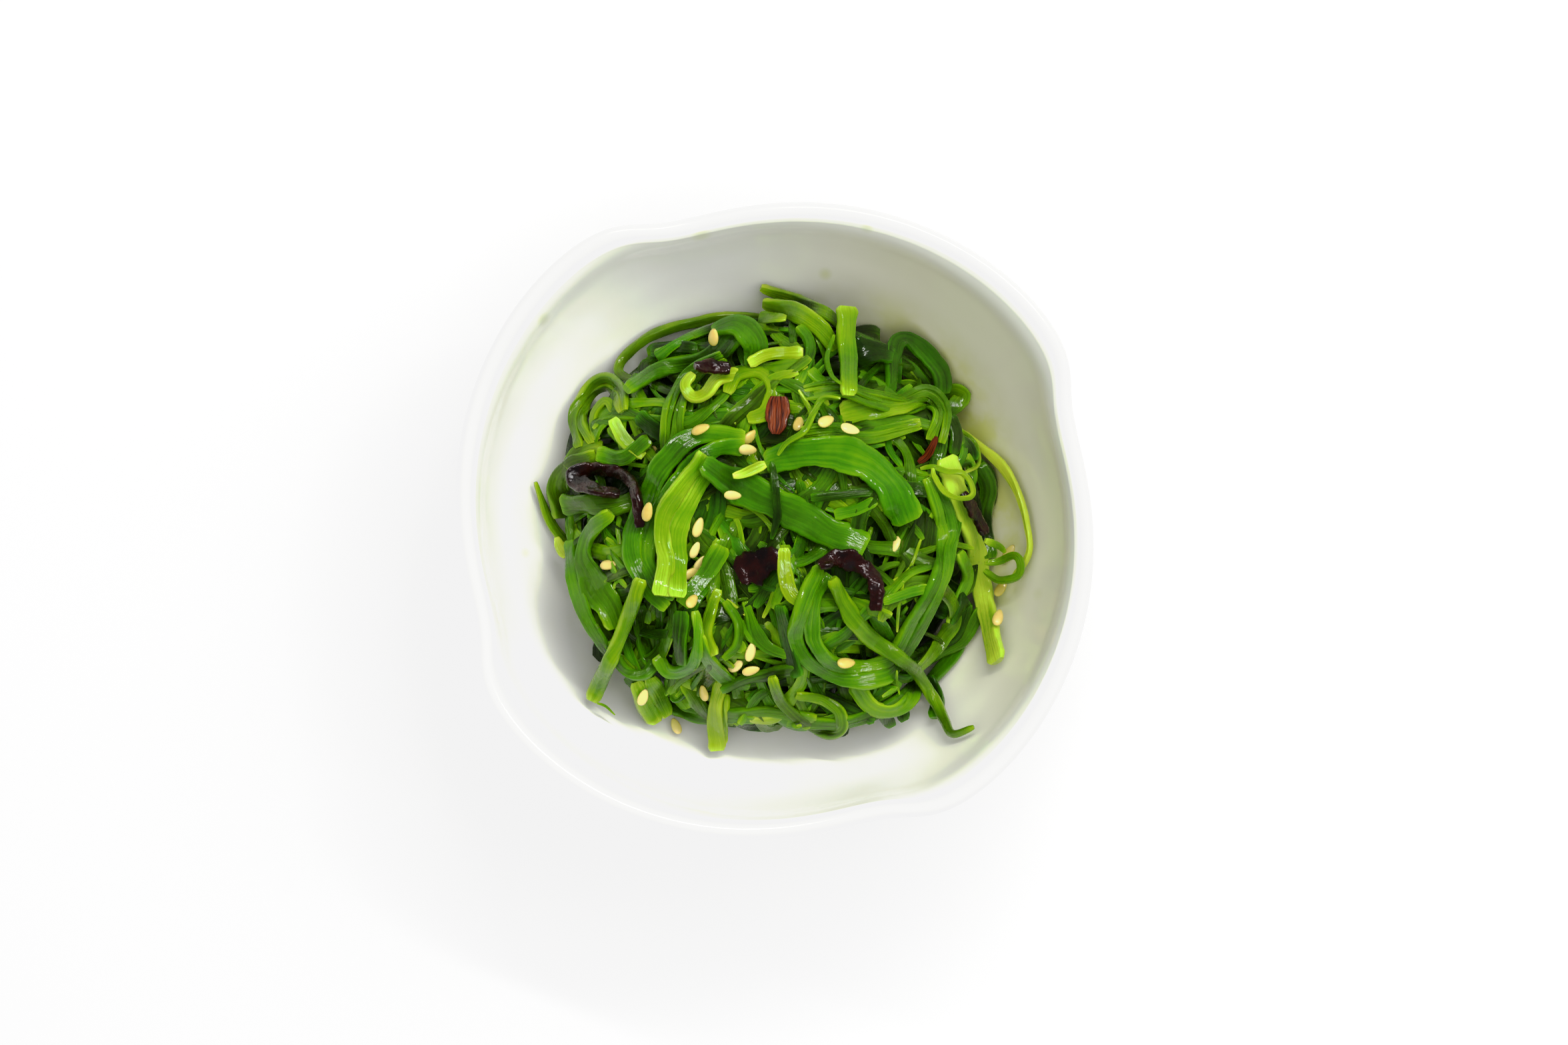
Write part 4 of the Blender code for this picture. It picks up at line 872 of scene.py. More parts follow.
@functools.cache
def glazed_porcelain():
    """Porcelain under a clear glaze, fired: a clean white with a smooth gloss, and some dressing on it."""
    look = bpy.context.scene.salad_bowl
    made, tree, shader = shader_of("glazed_porcelain", {
        "Roughness": 0.16, "IOR": 1.52, "Subsurface Weight": 0.08, "Subsurface Radius": (1.0, 0.9, 0.8),
        "Subsurface Scale": 2 * MM})
    place = add(tree, "ShaderNodeTexCoord", {}, {}).outputs["Object"]
    parts = add(tree, "ShaderNodeSeparateXYZ", {}, {"Vector": place})
    cloud = add(tree, "ShaderNodeTexNoise", {}, {"Vector": place, "Scale": 1 / (14 * MM), "Detail": 2.0})
    stops = [(0.3, tuple(look.glaze)), (0.7, tuple(look.glaze_shade))]
    shade = add(tree, "ShaderNodeValToRGB", {"stops": stops}, {"Fac": cloud})

    # Dressing runs down the right wall into the gap beside the heap, and is deepest low down.
    low = add(tree, "ShaderNodeMapRange", SMOOTH,
              {"Value": parts.outputs["Z"], "From Min": 24 * MM, "From Max": 10 * MM})
    right = add(tree, "ShaderNodeVectorMath", {"operation": "DOT_PRODUCT"}, {0: place, 1: (1.0, 0.35, 0)})
    right = add(tree, "ShaderNodeMapRange", SMOOTH,
                {"Value": right.outputs["Value"], "From Min": 18 * MM, "From Max": 40 * MM, "To Min": 0.12})
    drips = add(tree, "ShaderNodeTexNoise", {}, {"Vector": place, "Scale": 1 / (6 * MM), "Detail": 3.0})
    drips = add(tree, "ShaderNodeMapRange", SMOOTH,
                {"Value": drips, "From Min": 0.3, "From Max": 0.65, "To Min": 0.35})
    wet = add(tree, "MULTIPLY", {}, {0: low, 1: right})
    wet = add(tree, "MULTIPLY", {}, {0: wet, 1: drips})
    spread = add(tree, "ShaderNodeVectorMath", {"operation": "MULTIPLY"}, {0: place, 1: (1, 1, STAIN_FALL)})
    for x, y, size, share in STAINS:
        height = maps_before()["wakame_bed"].at(np.array([(x, y)]))[0]
        middle = (x * MM, y * MM, height * STAIN_FALL * MM)
        away = add(tree, "ShaderNodeVectorMath", {"operation": "DISTANCE"}, {0: spread, 1: middle})
        spot = add(tree, "ShaderNodeMapRange", SMOOTH,
                   {"Value": away.outputs["Value"], "From Min": size * MM, "From Max": 0.2 * size * MM,
                    "To Max": share})
        wet = add(tree, "MAXIMUM", {}, {0: wet, 1: spot})

    # Neither the dressing nor the oil tint with its painted bounce light is on faces that look down.
    above = add(tree, "ShaderNodeNewGeometry", {}, {}).outputs["Normal"]
    above = add(tree, "ShaderNodeSeparateXYZ", {}, {"Vector": above})
    above = add(tree, "ShaderNodeMapRange", {},
                {"Value": above.outputs["Z"], "From Min": 0.0, "From Max": 0.1})
    wet = add(tree, "MULTIPLY", {}, {0: wet, 1: above})
    tinted = add(tree, "ShaderNodeMix", TINTED, {"Factor": wet, 6: shade, 7: (*look.dressing, 1)})

    # A warm tint on the wall up to the rim at the upper right: partly a thin film of oil, partly painted
    # bounce light from the greens on the shaded wall.
    film = add(tree, "ShaderNodeVectorMath", {"operation": "DOT_PRODUCT"}, {0: place, 1: (0.9, 0.3, 0)})
    film = add(tree, "ShaderNodeMapRange", SMOOTH,
               {"Value": film.outputs["Value"], "From Min": 2 * MM, "From Max": 38 * MM, "To Max": 0.85})
    below_rim = add(tree, "ShaderNodeMapRange", SMOOTH,
                    {"Value": parts.outputs["Z"], "From Min": 43 * MM, "From Max": 33 * MM})
    for part in (above, below_rim):
        film = add(tree, "MULTIPLY", {}, {0: film, 1: part})
    oil_and_bounce_tinted = add(tree, "ShaderNodeMix", TINTED,
                 {"Factor": film, 6: tinted.outputs[2], 7: (*look.oil, 1)})
    tree.links.new(oil_and_bounce_tinted.outputs[2], shader.inputs["Base Color"])

    # The glaze is faintly uneven, like orange peel.
    peel = add(tree, "ShaderNodeTexNoise", {}, {"Vector": place, "Scale": 1 / (9 * MM), "Detail": 1.0})
    bump = add(tree, "ShaderNodeBump", {}, {"Height": peel, "Strength": 0.25, "Distance": 0.3 * MM})
    tree.links.new(bump.outputs[0], shader.inputs["Normal"])
    return made


@functools.cache
def soaked_wood_ear():
    """Soaked wood ear: black-brown jelly that shows maroon where light passes, wrinkled and wet."""
    look = bpy.context.scene.salad_seasoning
    made, tree, shader = shader_of("soaked_wood_ear", {
        "IOR": 1.4, "Specular IOR Level": 0.3, "Roughness": 0.3, "Subsurface Weight": 0.12,
        "Subsurface Radius": (1.0, 0.25, 0.15), "Subsurface Scale": MM, "Coat Weight": 1.0,
        "Coat Roughness": 0.06, "Coat IOR": 1.5})
    place = add(tree, "ShaderNodeTexCoord", {}, {}).outputs["Object"]
    patches = add(tree, "ShaderNodeTexNoise", {}, {"Vector": place, "Scale": 1 / (3 * MM), "Detail": 4.0})
    # Painted light: patches of the lit colour stand for maroon where light would pass through the jelly.
    stops = [(0.35, tuple(look.ear_dark)), (0.55, tuple(look.ear_lit)), (0.75, tuple(look.ear_dust))]
    shade = add(tree, "ShaderNodeValToRGB", {"stops": stops}, {"Fac": patches})
    tree.links.new(shade.outputs[0], shader.inputs["Base Color"])
    wrinkles = add(tree, "ShaderNodeTexNoise", {}, {"Vector": place, "Scale": 1 / (1.2 * MM), "Detail": 4.0})
    bump = add(tree, "ShaderNodeBump", {}, {"Height": wrinkles, "Strength": 0.9, "Distance": 0.4 * MM})
    tree.links.new(bump.outputs[0], shader.inputs["Normal"])
    tree.links.new(bump.outputs[0], shader.inputs["Coat Normal"])
    return made


@functools.cache
def dried_chilli():
    """Dried chilli softened in dressing: a brick-red skin with ribs along it, and a dull oily shine."""
    look = bpy.context.scene.salad_seasoning
    made, tree, shader = shader_of("dried_chilli", {
        "Roughness": 0.42, "Specular IOR Level": 0.3, "Subsurface Weight": 0.05,
        "Subsurface Radius": (1.0, 0.2, 0.1), "Subsurface Scale": 0.8 * MM, "Coat Weight": 0.25,
        "Coat Roughness": 0.15})
    data = {name: add(tree, "ShaderNodeAttribute", {"attribute_name": name}, {}).outputs["Fac"]
            for name in ("run", "side")}
    across = add(tree, "MULTIPLY", {}, {0: data["side"], 1: 4.5})
    far = add(tree, "DIVIDE", {}, {0: data["run"], 1: 5 * MM})
    lines = add(tree, "ShaderNodeCombineXYZ", {}, {"X": across, "Y": far})
    ribs = add(tree, "ShaderNodeTexNoise", {}, {"Vector": lines, "Scale": 1.0, "Detail": 3.0})
    stops = [(0.38, tuple(look.chilli_dark)), (0.6, tuple(look.chilli_red))]
    shade = add(tree, "ShaderNodeValToRGB", {"stops": stops}, {"Fac": ribs})
    tree.links.new(shade.outputs[0], shader.inputs["Base Color"])
    bump = add(tree, "ShaderNodeBump", {}, {"Height": ribs, "Strength": 1.0, "Distance": 0.35 * MM})
    tree.links.new(bump.outputs[0], shader.inputs["Normal"])
    return made


@functools.cache
def toasted_sesame():
    """Hulled sesame, lightly toasted: cream to tan, a little darker at the tip, with a waxy shine."""
    look = bpy.context.scene.salad_seasoning
    made, tree, shader = shader_of("toasted_sesame", {
        "Roughness": 0.35, "Subsurface Weight": 0.15, "Subsurface Radius": (1.0, 0.8, 0.3),
        "Subsurface Scale": 0.8 * MM, "Coat Weight": 0.35, "Coat Roughness": 0.12})
    tone = add(tree, "ShaderNodeAttribute", {"attribute_name": "tone"}, {}).outputs["Fac"]
    tip = add(tree, "ShaderNodeAttribute", {"attribute_name": "tip"}, {}).outputs["Fac"]
    place = add(tree, "ShaderNodeTexCoord", {}, {}).outputs["Object"]
    mottle = add(tree, "ShaderNodeTexNoise", {}, {"Vector": place, "Scale": 1 / (0.8 * MM), "Detail": 2.0})
    toast = add(tree, "MULTIPLY_ADD", {}, {0: mottle, 1: 0.3, 2: tone})
    stops = [(0.1, tuple(look.seed_cream)), (0.9, tuple(look.seed_tan))]
    shade = add(tree, "ShaderNodeValToRGB", {"stops": stops}, {"Fac": toast})
    dark = add(tree, "ShaderNodeMapRange", SMOOTH,
               {"Value": tip, "From Min": 0.42, "From Max": 0.5, "To Max": 0.6})
    mixed = add(tree, "ShaderNodeMix", MIXED, {"Factor": dark, 6: shade, 7: (*look.seed_tip, 1)})
    tree.links.new(mixed.outputs[2], shader.inputs["Base Color"])
    return made


def shade_property(name, description, code):
    """A colour, from its sRGB hex value."""
    return bpy.props.FloatVectorProperty(
        name=name, description=description, default=colour(code), subtype="COLOR", size=3, min=0, max=1)


def size_property(name, description, millimetres):
    """A length, given in millimetres and kept in metres."""
    return bpy.props.FloatProperty(
        name=name, description=description, default=millimetres * MM, unit="LENGTH")


def angle_property(name, description, degrees):
    """An angle, given in degrees and kept in radians."""
    return bpy.props.FloatProperty(
        name=name, description=description, default=math.radians(degrees), subtype="ANGLE")


def share_property(name, description, default, least=0.0, most=1.0):
    """A plain number between two limits, most often a share of something."""
    return bpy.props.FloatProperty(name=name, description=description, default=default, min=least, max=most)


class BowlSettings(bpy.types.PropertyGroup):
    around: bpy.props.IntProperty(name="Around", description="Faces round the bowl", default=384, min=60)
    pinches: bpy.props.IntProperty(name="Pinches", description="Pinches in the rim", default=4, min=1)
    pinch_angle: angle_property("Pinch angle", "Where the first pinch is", 25)
    pinch_depth: share_property("Pinch depth", "Swing of the rim as a share of its radius", 0.04)
    pinch_skew: share_property("Pinch skew", "How steep a pinch is on its one side", 0.66, 0.01, 0.95)
    rim_wave: size_property("Rim wave", "Rise of the rim at a bump", 0.9)
    pinch_start: size_property("Pinch start", "Height at which the pinches begin", 12)
    rim_height: size_property("Rim height", "Height of the rim", 44)
    glaze: shade_property("Glaze", "Colour of the glaze", "#E5E5E0")
    glaze_shade: shade_property("Glaze clouds", "Colour of faint clouds in the glaze", "#E2E2DC")
    dressing: shade_property("Dressing", "Tint of the dressing on the wall", "#D5DE7A")
    # The oil tint is partly a real film of oil and partly painted bounce light from the greens on the shaded
    # wall.
    oil: shade_property("Oil", "Tint of the film of oil on the wall", "#E6E4C4")


class WakameSettings(bpy.types.PropertyGroup):
    threads: bpy.props.IntProperty(
        name="Threads", description="Thin strands on the tangle", default=260, min=0)
    thread_seed: bpy.props.IntProperty(name="Seed", description="Seed of the loose strands", default=3)
    section_points: bpy.props.IntProperty(
        name="Section points", description="Points round a strip", default=20, min=6)
    squareness: share_property("Squareness", "Lower is a squarer section", 0.62, 0.3)
    ridges: share_property("Ridges", "Ridges along half a strip", 2.6, 0.0, 20.0)
    ridge_depth: size_property("Ridge depth", "Depth of the ridges", 0.6)
    ridge_length: size_property("Ridge length", "How far a ridge runs", 14)
    edge_wave: share_property("Edge wave", "How far the edges wave, as a share of the width", 0.6)
    wave_length: size_property("Wave length", "Length of the edge waves", 4)
    depth: share_property("Translucency", "Share of light that enters", 0.35)
    glow: size_property("Glow", "How far light travels inside", 1.2)
    wet: share_property("Wetness", "Strength of the film of dressing", 0.85)
    fibre: share_property("Fibres", "Contrast of the fibres", 0.36)
    green_1: shade_property("Green 1", "Green in the gaps", "#081402")
    green_2: shade_property("Green 2", "Dark green", "#1C3403")
    green_3: shade_property("Green 3", "Leaf green", "#376702")
    green_4: shade_property("Green 4", "Bright green", "#5B8906")
    green_5: shade_property("Green 5", "Lime green", "#96BA36")
    warm_1: shade_property("Warm 1", "Olive in the gaps", "#0E1402")
    warm_2: shade_property("Warm 2", "Dark olive", "#2F3D04")
    warm_3: shade_property("Warm 3", "Olive", "#536B05")
    warm_4: shade_property("Warm 4", "Yellow-green", "#79920A")
    warm_5: shade_property("Warm 5", "Pale yellow-green", "#B0BE40")


class SeasoningSettings(bpy.types.PropertyGroup):
    seed_length: size_property("Seed length", "Length of a sesame seed", 3.4)
    seed_width: size_property("Seed width", "Width of a sesame seed", 2.25)
    seed_thickness: size_property("Seed thickness", "Thickness of a sesame seed", 1.1)
    seed_point: share_property("Seed point", "How much a seed narrows", 0.34)
    seed_cream: shade_property("Seed cream", "Palest sesame", "#D3C478")
    seed_tan: shade_property("Seed tan", "Darkest sesame", "#B0A048")
    seed_tip: shade_property("Seed tip", "Sesame's tip", "#6B5424")
    ear_dark: shade_property("Wood ear dark", "Wood ear in the mass", "#0D0304")
    ear_lit: shade_property("Wood ear lit", "Wood ear where light passes", "#240704")
    ear_dust: shade_property("Wood ear bloom", "Greyish bloom on the wood ear", "#1C1416")
    chilli_red: shade_property("Chilli red", "Chilli skin", "#6E3410")
    chilli_dark: shade_property("Chilli dark", "Between the chilli's ribs", "#30100A")


class StageSettings(bpy.types.PropertyGroup):
    floor: shade_property("Floor", "Colour of the floor", "#FFFFFF")
    floor_size: size_property("Floor size", "Side of the floor", 3000)
    room: share_property("Room light", "Even light from the room", 0.95)
    room_gloss: share_property("Room in reflections", "The room's light as wet things reflect it", 0.15)
    softbox: bpy.props.FloatProperty(name="Softbox", description="Power of the softbox in watts", default=7.0)
    tube: bpy.props.FloatProperty(name="Tube", description="Power of the tube in watts", default=3.0)
    fill: bpy.props.FloatProperty(name="Fill", description="Power of the fill in watts", default=2.4)
    lens: bpy.props.FloatProperty(name="Lens", description="Focal length in millimetres", default=180)
    frame_width: size_property("Frame width", "Width seen at the rim", 260.7)
    tilt: angle_property("Tilt", "Camera's lean from straight down", 1.0)


def finish_piece(made, slot, *nodes):
    """Lets a finished piece ride on the object, and hides the solids that it stands for; its slot is not
    used.
    """
    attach(made, "root")
    if nodes:
        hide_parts(*nodes)


class SALAD_OT_stage(bpy.types.Operator):
    """Sets the plain floor, the soft studio light and the camera that looks down on the bowl"""

    bl_idname = "salad.stage"
    bl_label = "Stage"

    def execute(self, context):
        look = context.scene.salad_stage
        rim = context.scene.salad_bowl.rim_height
        half = look.floor_size / 2
        corners = [(-half, -half, 0), (half, -half, 0), (half, half, 0), (-half, half, 0)]
        mesh = bpy.data.meshes.new("floor")
        mesh.from_pydata(corners, [], [(0, 1, 2, 3)])
        paper, _, _ = shader_of("matt_paper", {"Base Color": (*look.floor, 1), "Roughness": 0.9,
                                               "Specular IOR Level": 0.2})
        mesh.materials.append(paper)
        linked("floor", mesh)

        # The room lights evenly from all sides, and is dimmer in reflections.
        room = bpy.data.worlds.new("white room")
        room.use_nodes = True
        tree = room.node_tree
        glossy = add(tree, "ShaderNodeLightPath", {}, {}).outputs["Is Glossy Ray"]
        strength = add(tree, "ShaderNodeMapRange", {},
                       {"Value": glossy, "To Min": look.room, "To Max": look.room_gloss})
        tree.nodes["Background"].inputs["Color"].default_value = (1, 1, 1, 1)
        tree.links.new(strength.outputs[0], tree.nodes["Background"].inputs["Strength"])
        context.scene.world = room

        middle = Vector((0, 0, rim * LAMPS_AIM))
        for name, place, size in LAMPS:
            light = bpy.data.lights.new(name, "AREA")
            light.shape = "RECTANGLE"
            light.size, light.size_y = size
            light.energy = getattr(look, name)
            lamp = linked(name, light)
            facing = (middle - Vector(place)).to_track_quat("-Z", "Y").to_matrix().to_4x4()
            lamp.matrix_world = Matrix.Translation(place) @ facing
            lamp.visible_glossy = name == REFLECTED_LAMP

        camera = bpy.data.cameras.new("camera")
        camera.lens = look.lens
        camera.clip_start = 0.01
        high = look.frame_width * look.lens / camera.sensor_width
        aim = Vector(PICTURE_CENTRE) * MM + Vector((0, 0, rim))
        seen = linked("camera", camera)
        back = Vector((0, -math.sin(look.tilt), math.cos(look.tilt))) * high
        seen.matrix_world = Matrix.Translation(aim + back) @ Matrix.Rotation(look.tilt, 4, "X")
        context.scene.camera = seen
        view = context.scene.view_settings
        view.view_transform = "Standard"
        view.use_curve_mapping = True
        brightest = TONE_CURVE[-1][0]
        view.curve_mapping.white_level = (brightest,) * 3
        curve = view.curve_mapping.curves[3].points
        for light, _ in TONE_CURVE[1:-1]:
            curve.new(light / brightest, 0.5)
        for point, (light, bright) in zip(curve, TONE_CURVE):
            point.location = (light / brightest, bright)
        view.curve_mapping.update()
        return {"FINISHED"}


class SALAD_OT_bowl(bpy.types.Operator):
    """Turns and pinches the porcelain bowl"""

    bl_idname = "salad.bowl"
    bl_label = "Bowl"

    def execute(self, context):
        look = context.scene.salad_bowl
        wall = smooth_curve((FOOT[-1],) + OUTSIDE + LIP[:1], 6)
        rim = smooth_curve(LIP, 5)
        inside = smooth_curve(LIP[-1:] + INSIDE, 7)
        section = np.vstack([np.array(FOOT[:-1]), wall[:-1], rim[:-1], inside])
        made = turned("porcelain_bowl", section, {
            "Around": look.around, "Pinches": float(look.pinches), "Pinch angle": look.pinch_angle,
            "Depth": look.pinch_depth, "Skew": look.pinch_skew, "Rim wave": look.rim_wave,
            "Start": look.pinch_start, "Rim height": look.rim_height, "Finish": glazed_porcelain()})
        finish_piece(made, "porcelain", "bowl")
        return {"FINISHED"}


def filler_routes():
    """The strips that cover the core by rule: middles spread by the golden angle, headings drawn."""
    rng = random.Random(FILLER_SEED)
    routes = []
    for count, length, widths in FILLERS:
        for number in range(count):
            turn = number * math.pi * (3 - math.sqrt(5))
            reach = FILLER_REACH * math.sqrt(number / count)
            middle = np.array([reach * math.cos(turn), reach * math.sin(turn)])
            heading = turn + math.pi / 2 + rng.uniform(-0.8, 0.8)
            curl = rng.uniform(-0.05, 0.05)
            route = []
            for run in (-0.5, -0.25, 0, 0.25, 0.5):
                bearing = heading + curl * run * length
                place = middle + run * length * np.array([math.cos(bearing), math.sin(bearing)])
                route.append(tuple(place / max(1.0, np.linalg.norm(place) / FILLER_LIMIT)))
            routes.append((route, widths))
    return routes


def core_height(radius):
    """How high the tangle's core stands at a radius."""
    share = np.sqrt(np.clip(1 - (radius / CORE_EDGE_RADIUS) ** 2, 0, 1))
    return CORE_EDGE_HEIGHT + (CORE_CROWN - CORE_EDGE_HEIGHT) * share ** CORE_FULLNESS


def strip_top(way, thickness):
    """Points that cover the top of a laid strip closely, for the height map."""
    path, widths, bank = (finer(values) for values in way)
    across, up = frames(path, bank)
    spread = np.linspace(-1, 1, 15)[None, :, None]
    thick = np.minimum(thickness, THICKEST_SHARE * widths)[:, None, None]
    rise = np.clip((1 - abs(spread)) / 0.4, 0, 1) * thick / 2
    return path[:, None] + across[:, None] * spread * widths[:, None, None] / 2 + up[:, None] * rise


@functools.cache
def tangle():
    """The tangle's laid strips, lowest first, and the height map of them."""
    bowl_map = maps_before()["wakame_bed"]
    steps = np.arange(bowl_map.side) * CELL - MAP_HALF
    radius = np.hypot(steps[:, None], steps[None])
    core = np.where(radius < CORE_EDGE_RADIUS, core_height(radius), 0)
    bed_map = HeightMap(core)
    rests = ((bowl_map, GAP), (bed_map, -BED_SINK))
    ways = []
    for route, widths in filler_routes() + list(BED):
        way = laid(route, widths, BED_THICKNESS, rests)
        bed_map.add_points(strip_top(way, BED_THICKNESS))
        ways.append(way)
    return ways, bed_map


def thread_route(rng):
    """A thin strand of the tangle: it starts anywhere on the heap and bends as it goes."""
    reach = THREAD_REACH * math.sqrt(rng.random())
    turn = rng.uniform(0, math.tau)
    place = np.array([reach * math.cos(turn), reach * math.sin(turn)])
    heading = turn + math.pi / 2 + rng.uniform(-1.6, 1.6)
    curl = rng.uniform(-0.5, 0.5)
    route = []
    for _ in range(rng.randint(4, 9)):
        route.append(tuple(place))
        heading += curl + rng.uniform(-0.3, 0.3)
        place = place + THREAD_STRETCH * np.array([math.cos(heading), math.sin(heading)])
        place = place / max(1.0, np.linalg.norm(place) / THREAD_REACH)
    return route


def lit(way):
    """Painted shade: the share of its tone that a strand keeps, less deep in the heap where little light gets
    in.
    """
    path = way[0]
    depth = maps_before()["end"].at(path[:, :2]) - path[:, 2]
    return 1 - DARKER_PER_MM * smoothed(np.clip(depth - LIT_DEPTH, 0, DARKEST_DEPTH), 6)


def relief(look, **changes):
    """The tree's inputs for wakame, from the panel's settings."""
    keys = ("section_points", "squareness", "ridges", "ridge_depth", "ridge_length", "edge_wave",
            "wave_length")
    return {key.replace("_", " ").capitalize(): changes.get(key, getattr(look, key)) for key in keys}


class SALAD_OT_tangle(bpy.types.Operator):
    """Fills the bowl with the tangle of strips and threads under the free strips"""

    bl_idname = "salad.tangle"
    bl_label = "Tangle"

    def execute(self, context):
        look = context.scene.salad_wakame
        rng = random.Random(look.thread_seed)
        ways, bed_map = tangle()
        bowl_map = maps_before()["wakame_bed"]
        found = []
        for number, way in enumerate(ways):
            picked = number >= len(ways) - len(BED)
            tone = rng.uniform(*(PICKED_TONES if picked else FILLER_TONES))
            count = max(1, round(way[1].mean() / BED_STRAND_WIDTH))
            # Painted shade: the tone is darker the deeper the strip lies.
            found += strands(rng, way, BED_THICKNESS, tone * lit(way), rng.uniform(0, 0.5), count, 0.3)
        made = swept("wakame_tangle", found, dressed_wakame(), relief(look, section_points=12))
        finish_piece(made, "wakame_dark", "wakame_bed")

        # The core closes the gaps in the tangle, so that no porcelain shows through it. Its dark tone is
        # painted shade for the deep gaps.
        radii = CORE_EDGE_RADIUS * np.cos(np.linspace(math.pi / 2, 0, 24))
        dome = [(radius, core_height(radius)) for radius in radii]
        under = [(radius, height + GAP) for radius, height in INSIDE if radius < CORE_EDGE_RADIUS]
        made = turned("wakame_core", dome + under, {"Around": 96, "Finish": dressed_wakame()})
        write(made.data, "tone", np.full(len(made.data.vertices), CORE_SHADE_TONE))
        finish_piece(made, "wakame_dark")

        rests = ((bowl_map, GAP), (bed_map, -THREAD_SINK))
        found = []
        for _ in range(look.threads):
            width = rng.choice(THREAD_WIDTHS)
            route = thread_route(rng)
            widths = (width, width * rng.uniform(0.9, 1.2), width)
            way = laid(route, widths, THREAD_THICKNESS, rests)
            way[0][:, 2] += rng.uniform(-1.2, 0.2)
            tone = rng.choice(THREAD_TONES)
            # Painted shade: the tone is darker the deeper the thread lies.
            found += strands(rng, way, THREAD_THICKNESS, tone * lit(way), rng.uniform(0, 0.6), fold=0.3,
                             taper=0.3)
        shape = relief(look, section_points=8, squareness=0.85)
        made = swept("wakame_threads", found, dressed_wakame(), shape)
        finish_piece(made, "wakame_mid")
        return {"FINISHED"}


class SALAD_OT_strips(bpy.types.Operator):
    """Lays every free strip where its solid lies, and the loose pieces between and over them"""

    bl_idname = "salad.strips"
    bl_label = "Strips"

    def execute(self, context):
        look = context.scene.salad_wakame
        maps = maps_before()
        bed = maps["strip_" + STRIPS[0][0]]
        rng = random.Random(look.thread_seed + 1)
        found = []
        for tone, warmth, points, widths in UNDER:
            way = laid(points, widths, UNDER_THICKNESS, ((bed, 0.0),))
            # Painted shade: the tone is darker the deeper the piece lies.
            found += strands(rng, way, UNDER_THICKNESS, tone * lit(way), warmth, fold=0.3)
        made = swept("wakame_between", found, dressed_wakame(), relief(look, section_points=14))
        finish_piece(made, "wakame_mid")

        for name, shade, tone, warmth, count, fold, points, widths, thickness in STRIPS:
            rng = random.Random(name)
            way = laid(points, widths, thickness, ((maps["strip_" + name], GAP),))
            # Painted shade: the tone is darker where other strips cover it, down to the share that a free
            # strip keeps.
            own_tone = tone * np.maximum(lit(way), FREE_STRIP_KEEPS)
            found = strands(rng, way, thickness, own_tone, warmth, count, fold)
            made = swept("wakame_" + name, found, dressed_wakame(), relief(look))
            finish_piece(made, "wakame_" + shade, "strip_" + name)

        rng = random.Random(look.thread_seed + 2)
        found = []
        for tone, warmth, points, widths in OVER:
            way = laid(points, widths, OVER_THICKNESS, ((maps["end"], OVER_GAP),))
            found += strands(rng, way, OVER_THICKNESS, tone, warmth, fold=0.2, taper=0.3)
        made = swept("wakame_stems", found, dressed_wakame(), relief(look, section_points=10))
        finish_piece(made, "wakame_light")
        return {"FINISHED"}


class SALAD_OT_wood_ear(bpy.types.Operator):
    """Lays the pieces of wood ear"""

    bl_idname = "salad.wood_ear"
    bl_label = "Wood ear"

    def execute(self, context):
        look = context.scene.salad_wakame
        for name, fold, points, widths, thickness in WOOD_EAR:
            rng = random.Random("ear " + name)
            way = laid(points, widths, thickness, ((maps_before()["wood_ear_" + name], GAP),))
            found = strands(rng, way, thickness, 0.5, 0.5, 1, fold, roll=0.3)
            shape = relief(look, ridge_depth=1.1 * MM, ridge_length=3 * MM, ridges=1.6, edge_wave=1.6,
                           wave_length=2.2 * MM, squareness=0.8)
            made = swept("ear_" + name, found, soaked_wood_ear(), shape)
            finish_piece(made, "wood_ear", "wood_ear_" + name)
        return {"FINISHED"}


class SALAD_OT_chilli(bpy.types.Operator):
    """Lays the chilli flakes"""

    bl_idname = "salad.chilli"
    bl_label = "Chilli"

    def execute(self, context):
        look = context.scene.salad_wakame
        for name, fold, points, widths, thickness in CHILLI:
            rng = random.Random("chilli " + name)
            way = laid(points, widths, thickness, ((maps_before()["chilli_" + name], GAP),))
            way = (way[0], way[1], 0.35 * way[2])
            found = strands(rng, way, thickness, 0.5, 0.5, 1, fold)
            shape = relief(look, ridge_depth=0.5 * MM, ridge_length=5 * MM, ridges=3.5, edge_wave=0.7,
                           wave_length=2 * MM)
            made = swept("red_" + name, found, dried_chilli(), shape)
            finish_piece(made, "chilli", "chilli_" + name)
        return {"FINISHED"}


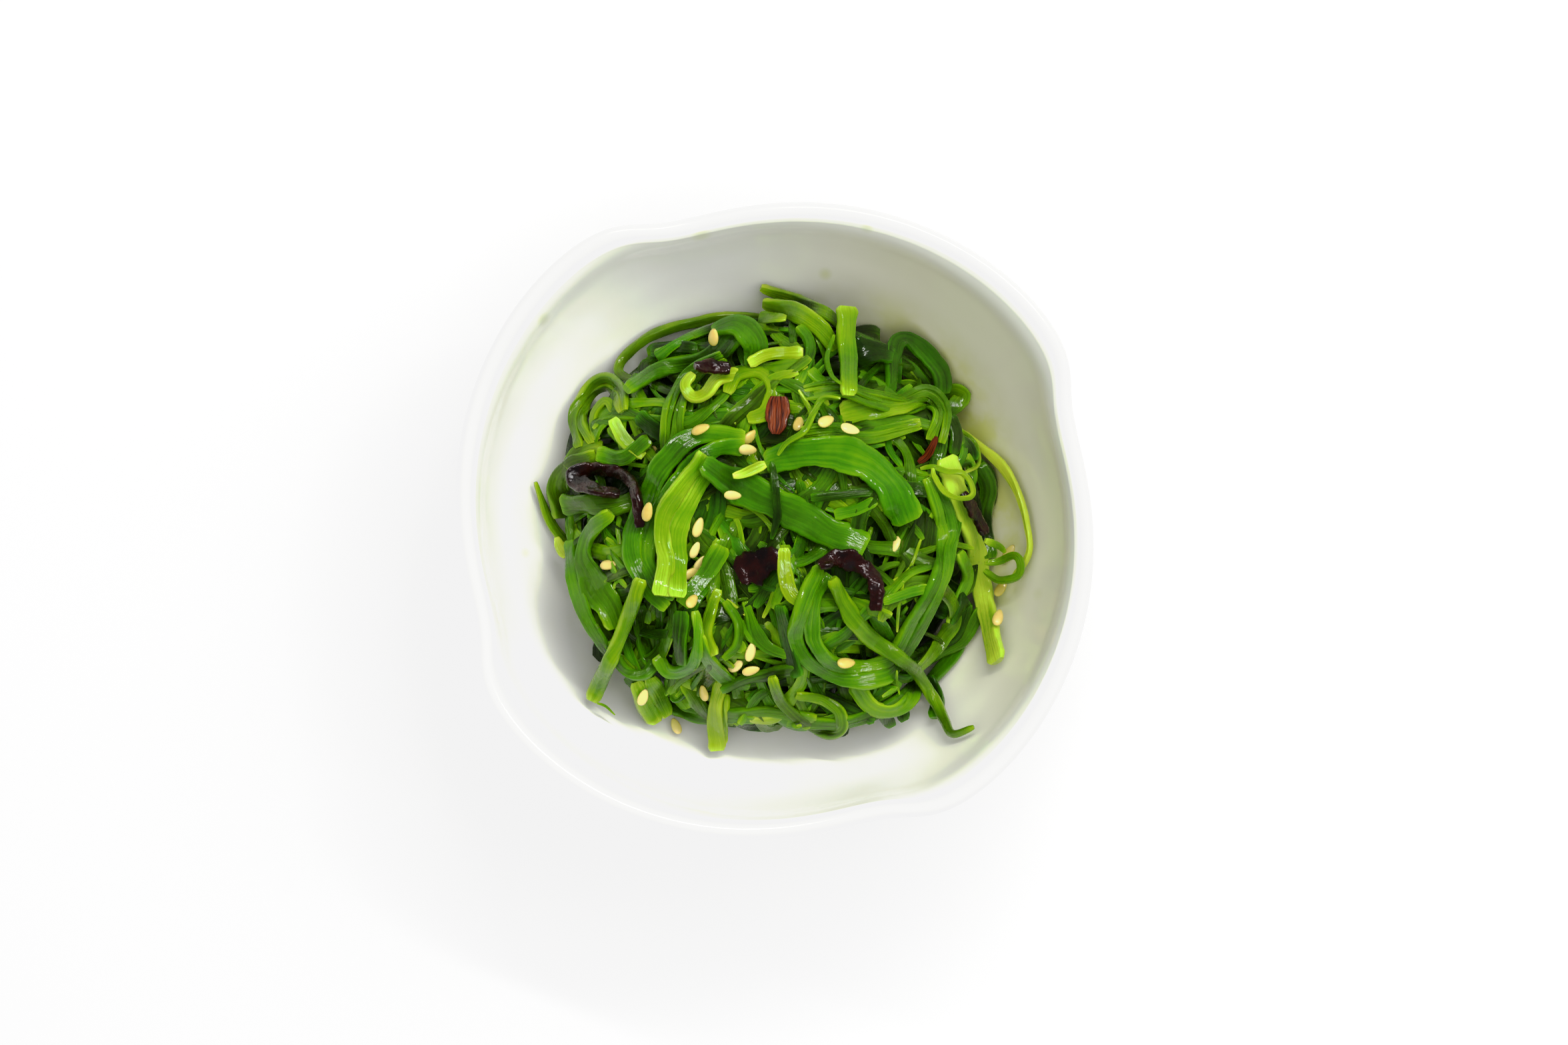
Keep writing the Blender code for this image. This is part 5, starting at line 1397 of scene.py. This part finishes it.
class SALAD_OT_sesame(bpy.types.Operator):
    """Scatters the sesame seeds"""

    bl_idname = "salad.sesame"
    bl_label = "Sesame"

    def execute(self, context):
        look = context.scene.salad_seasoning
        maps = maps_before()
        rng = random.Random(SESAME_SEED)
        length = look.seed_length / MM
        places, turns, sizes, tones = [], [], [], []
        for number, (x, y, heading) in enumerate(SESAME + MORE_SESAME, 1):
            own = f"sesame_{number:02d}"
            below = maps.get(own, maps["end"])
            reach = length / 2
            tops = below.at(np.array([(x + reach, y), (x - reach, y), (x, y + reach), (x, y - reach)]))
            slope = np.clip(np.array([tops[0] - tops[1], tops[2] - tops[3]]) / length,
                            -SESAME_STEEPEST, SESAME_STEEPEST)
            up = Vector((-slope[0], -slope[1], 1)).normalized()
            ahead = Vector((math.cos(math.radians(heading)), math.sin(math.radians(heading)), 0))
            ahead = (ahead - up * ahead.dot(up)).normalized()
            attitude = Matrix((ahead, up.cross(ahead), up)).transposed()
            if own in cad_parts:
                low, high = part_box(own)
                middle = (low + high) / 2
            else:
                middle = Vector((x, y, below.at(np.array([(x, y)]))[0] + SESAME_SEAT)) * MM
            places.append(middle[:])
            turns.append(attitude.to_euler()[:])
            sizes.append(rng.uniform(0.90, 1.06))
            tones.append(rng.uniform(0.0, 0.7))
        mesh = bpy.data.meshes.new("sesame_seeds")
        mesh.from_pydata(places, [], [])
        write(mesh, "turn", turns, "FLOAT_VECTOR")
        write(mesh, "size", sizes)
        write(mesh, "tone", tones)
        made = linked("sesame_seeds", mesh)
        settled(made, seed_tree(), {"Length": look.seed_length, "Width": look.seed_width,
                                    "Thickness": look.seed_thickness, "Point": look.seed_point,
                                    "Finish": toasted_sesame()})
        finish_piece(made, "sesame", *[f"sesame_{number:02d}" for number in range(1, len(SESAME) + 1)])
        return {"FINISHED"}


OPERATORS = (SALAD_OT_stage, SALAD_OT_bowl, SALAD_OT_tangle, SALAD_OT_strips, SALAD_OT_wood_ear,
             SALAD_OT_chilli, SALAD_OT_sesame)
SETTINGS = {"salad_bowl": BowlSettings, "salad_wakame": WakameSettings, "salad_seasoning": SeasoningSettings,
            "salad_stage": StageSettings}


class SALAD_PT_panel(bpy.types.Panel):
    """Lists the steps of the salad and their settings"""

    bl_label = "Wakame salad"
    bl_idname = "SALAD_PT_panel"
    bl_space_type = "VIEW_3D"
    bl_region_type = "UI"
    bl_category = "Salad"

    def draw(self, context):
        for step in OPERATORS:
            self.layout.operator(step.bl_idname)
        for name, group in SETTINGS.items():
            box = self.layout.box()
            for setting in group.__annotations__:
                box.prop(getattr(context.scene, name), setting)


def register():
    for kind in (*SETTINGS.values(), *OPERATORS, SALAD_PT_panel):
        bpy.utils.register_class(kind)
    for name, group in SETTINGS.items():
        setattr(bpy.types.Scene, name, bpy.props.PointerProperty(type=group))


def unregister():
    for name in SETTINGS:
        delattr(bpy.types.Scene, name)
    for kind in (SALAD_PT_panel, *OPERATORS[::-1], *SETTINGS.values()):
        bpy.utils.unregister_class(kind)


def main():
    register()
    for step in OPERATORS:
        group, name = step.bl_idname.split(".")
        getattr(getattr(bpy.ops, group), name)()


if __name__ == "__main__":
    main()
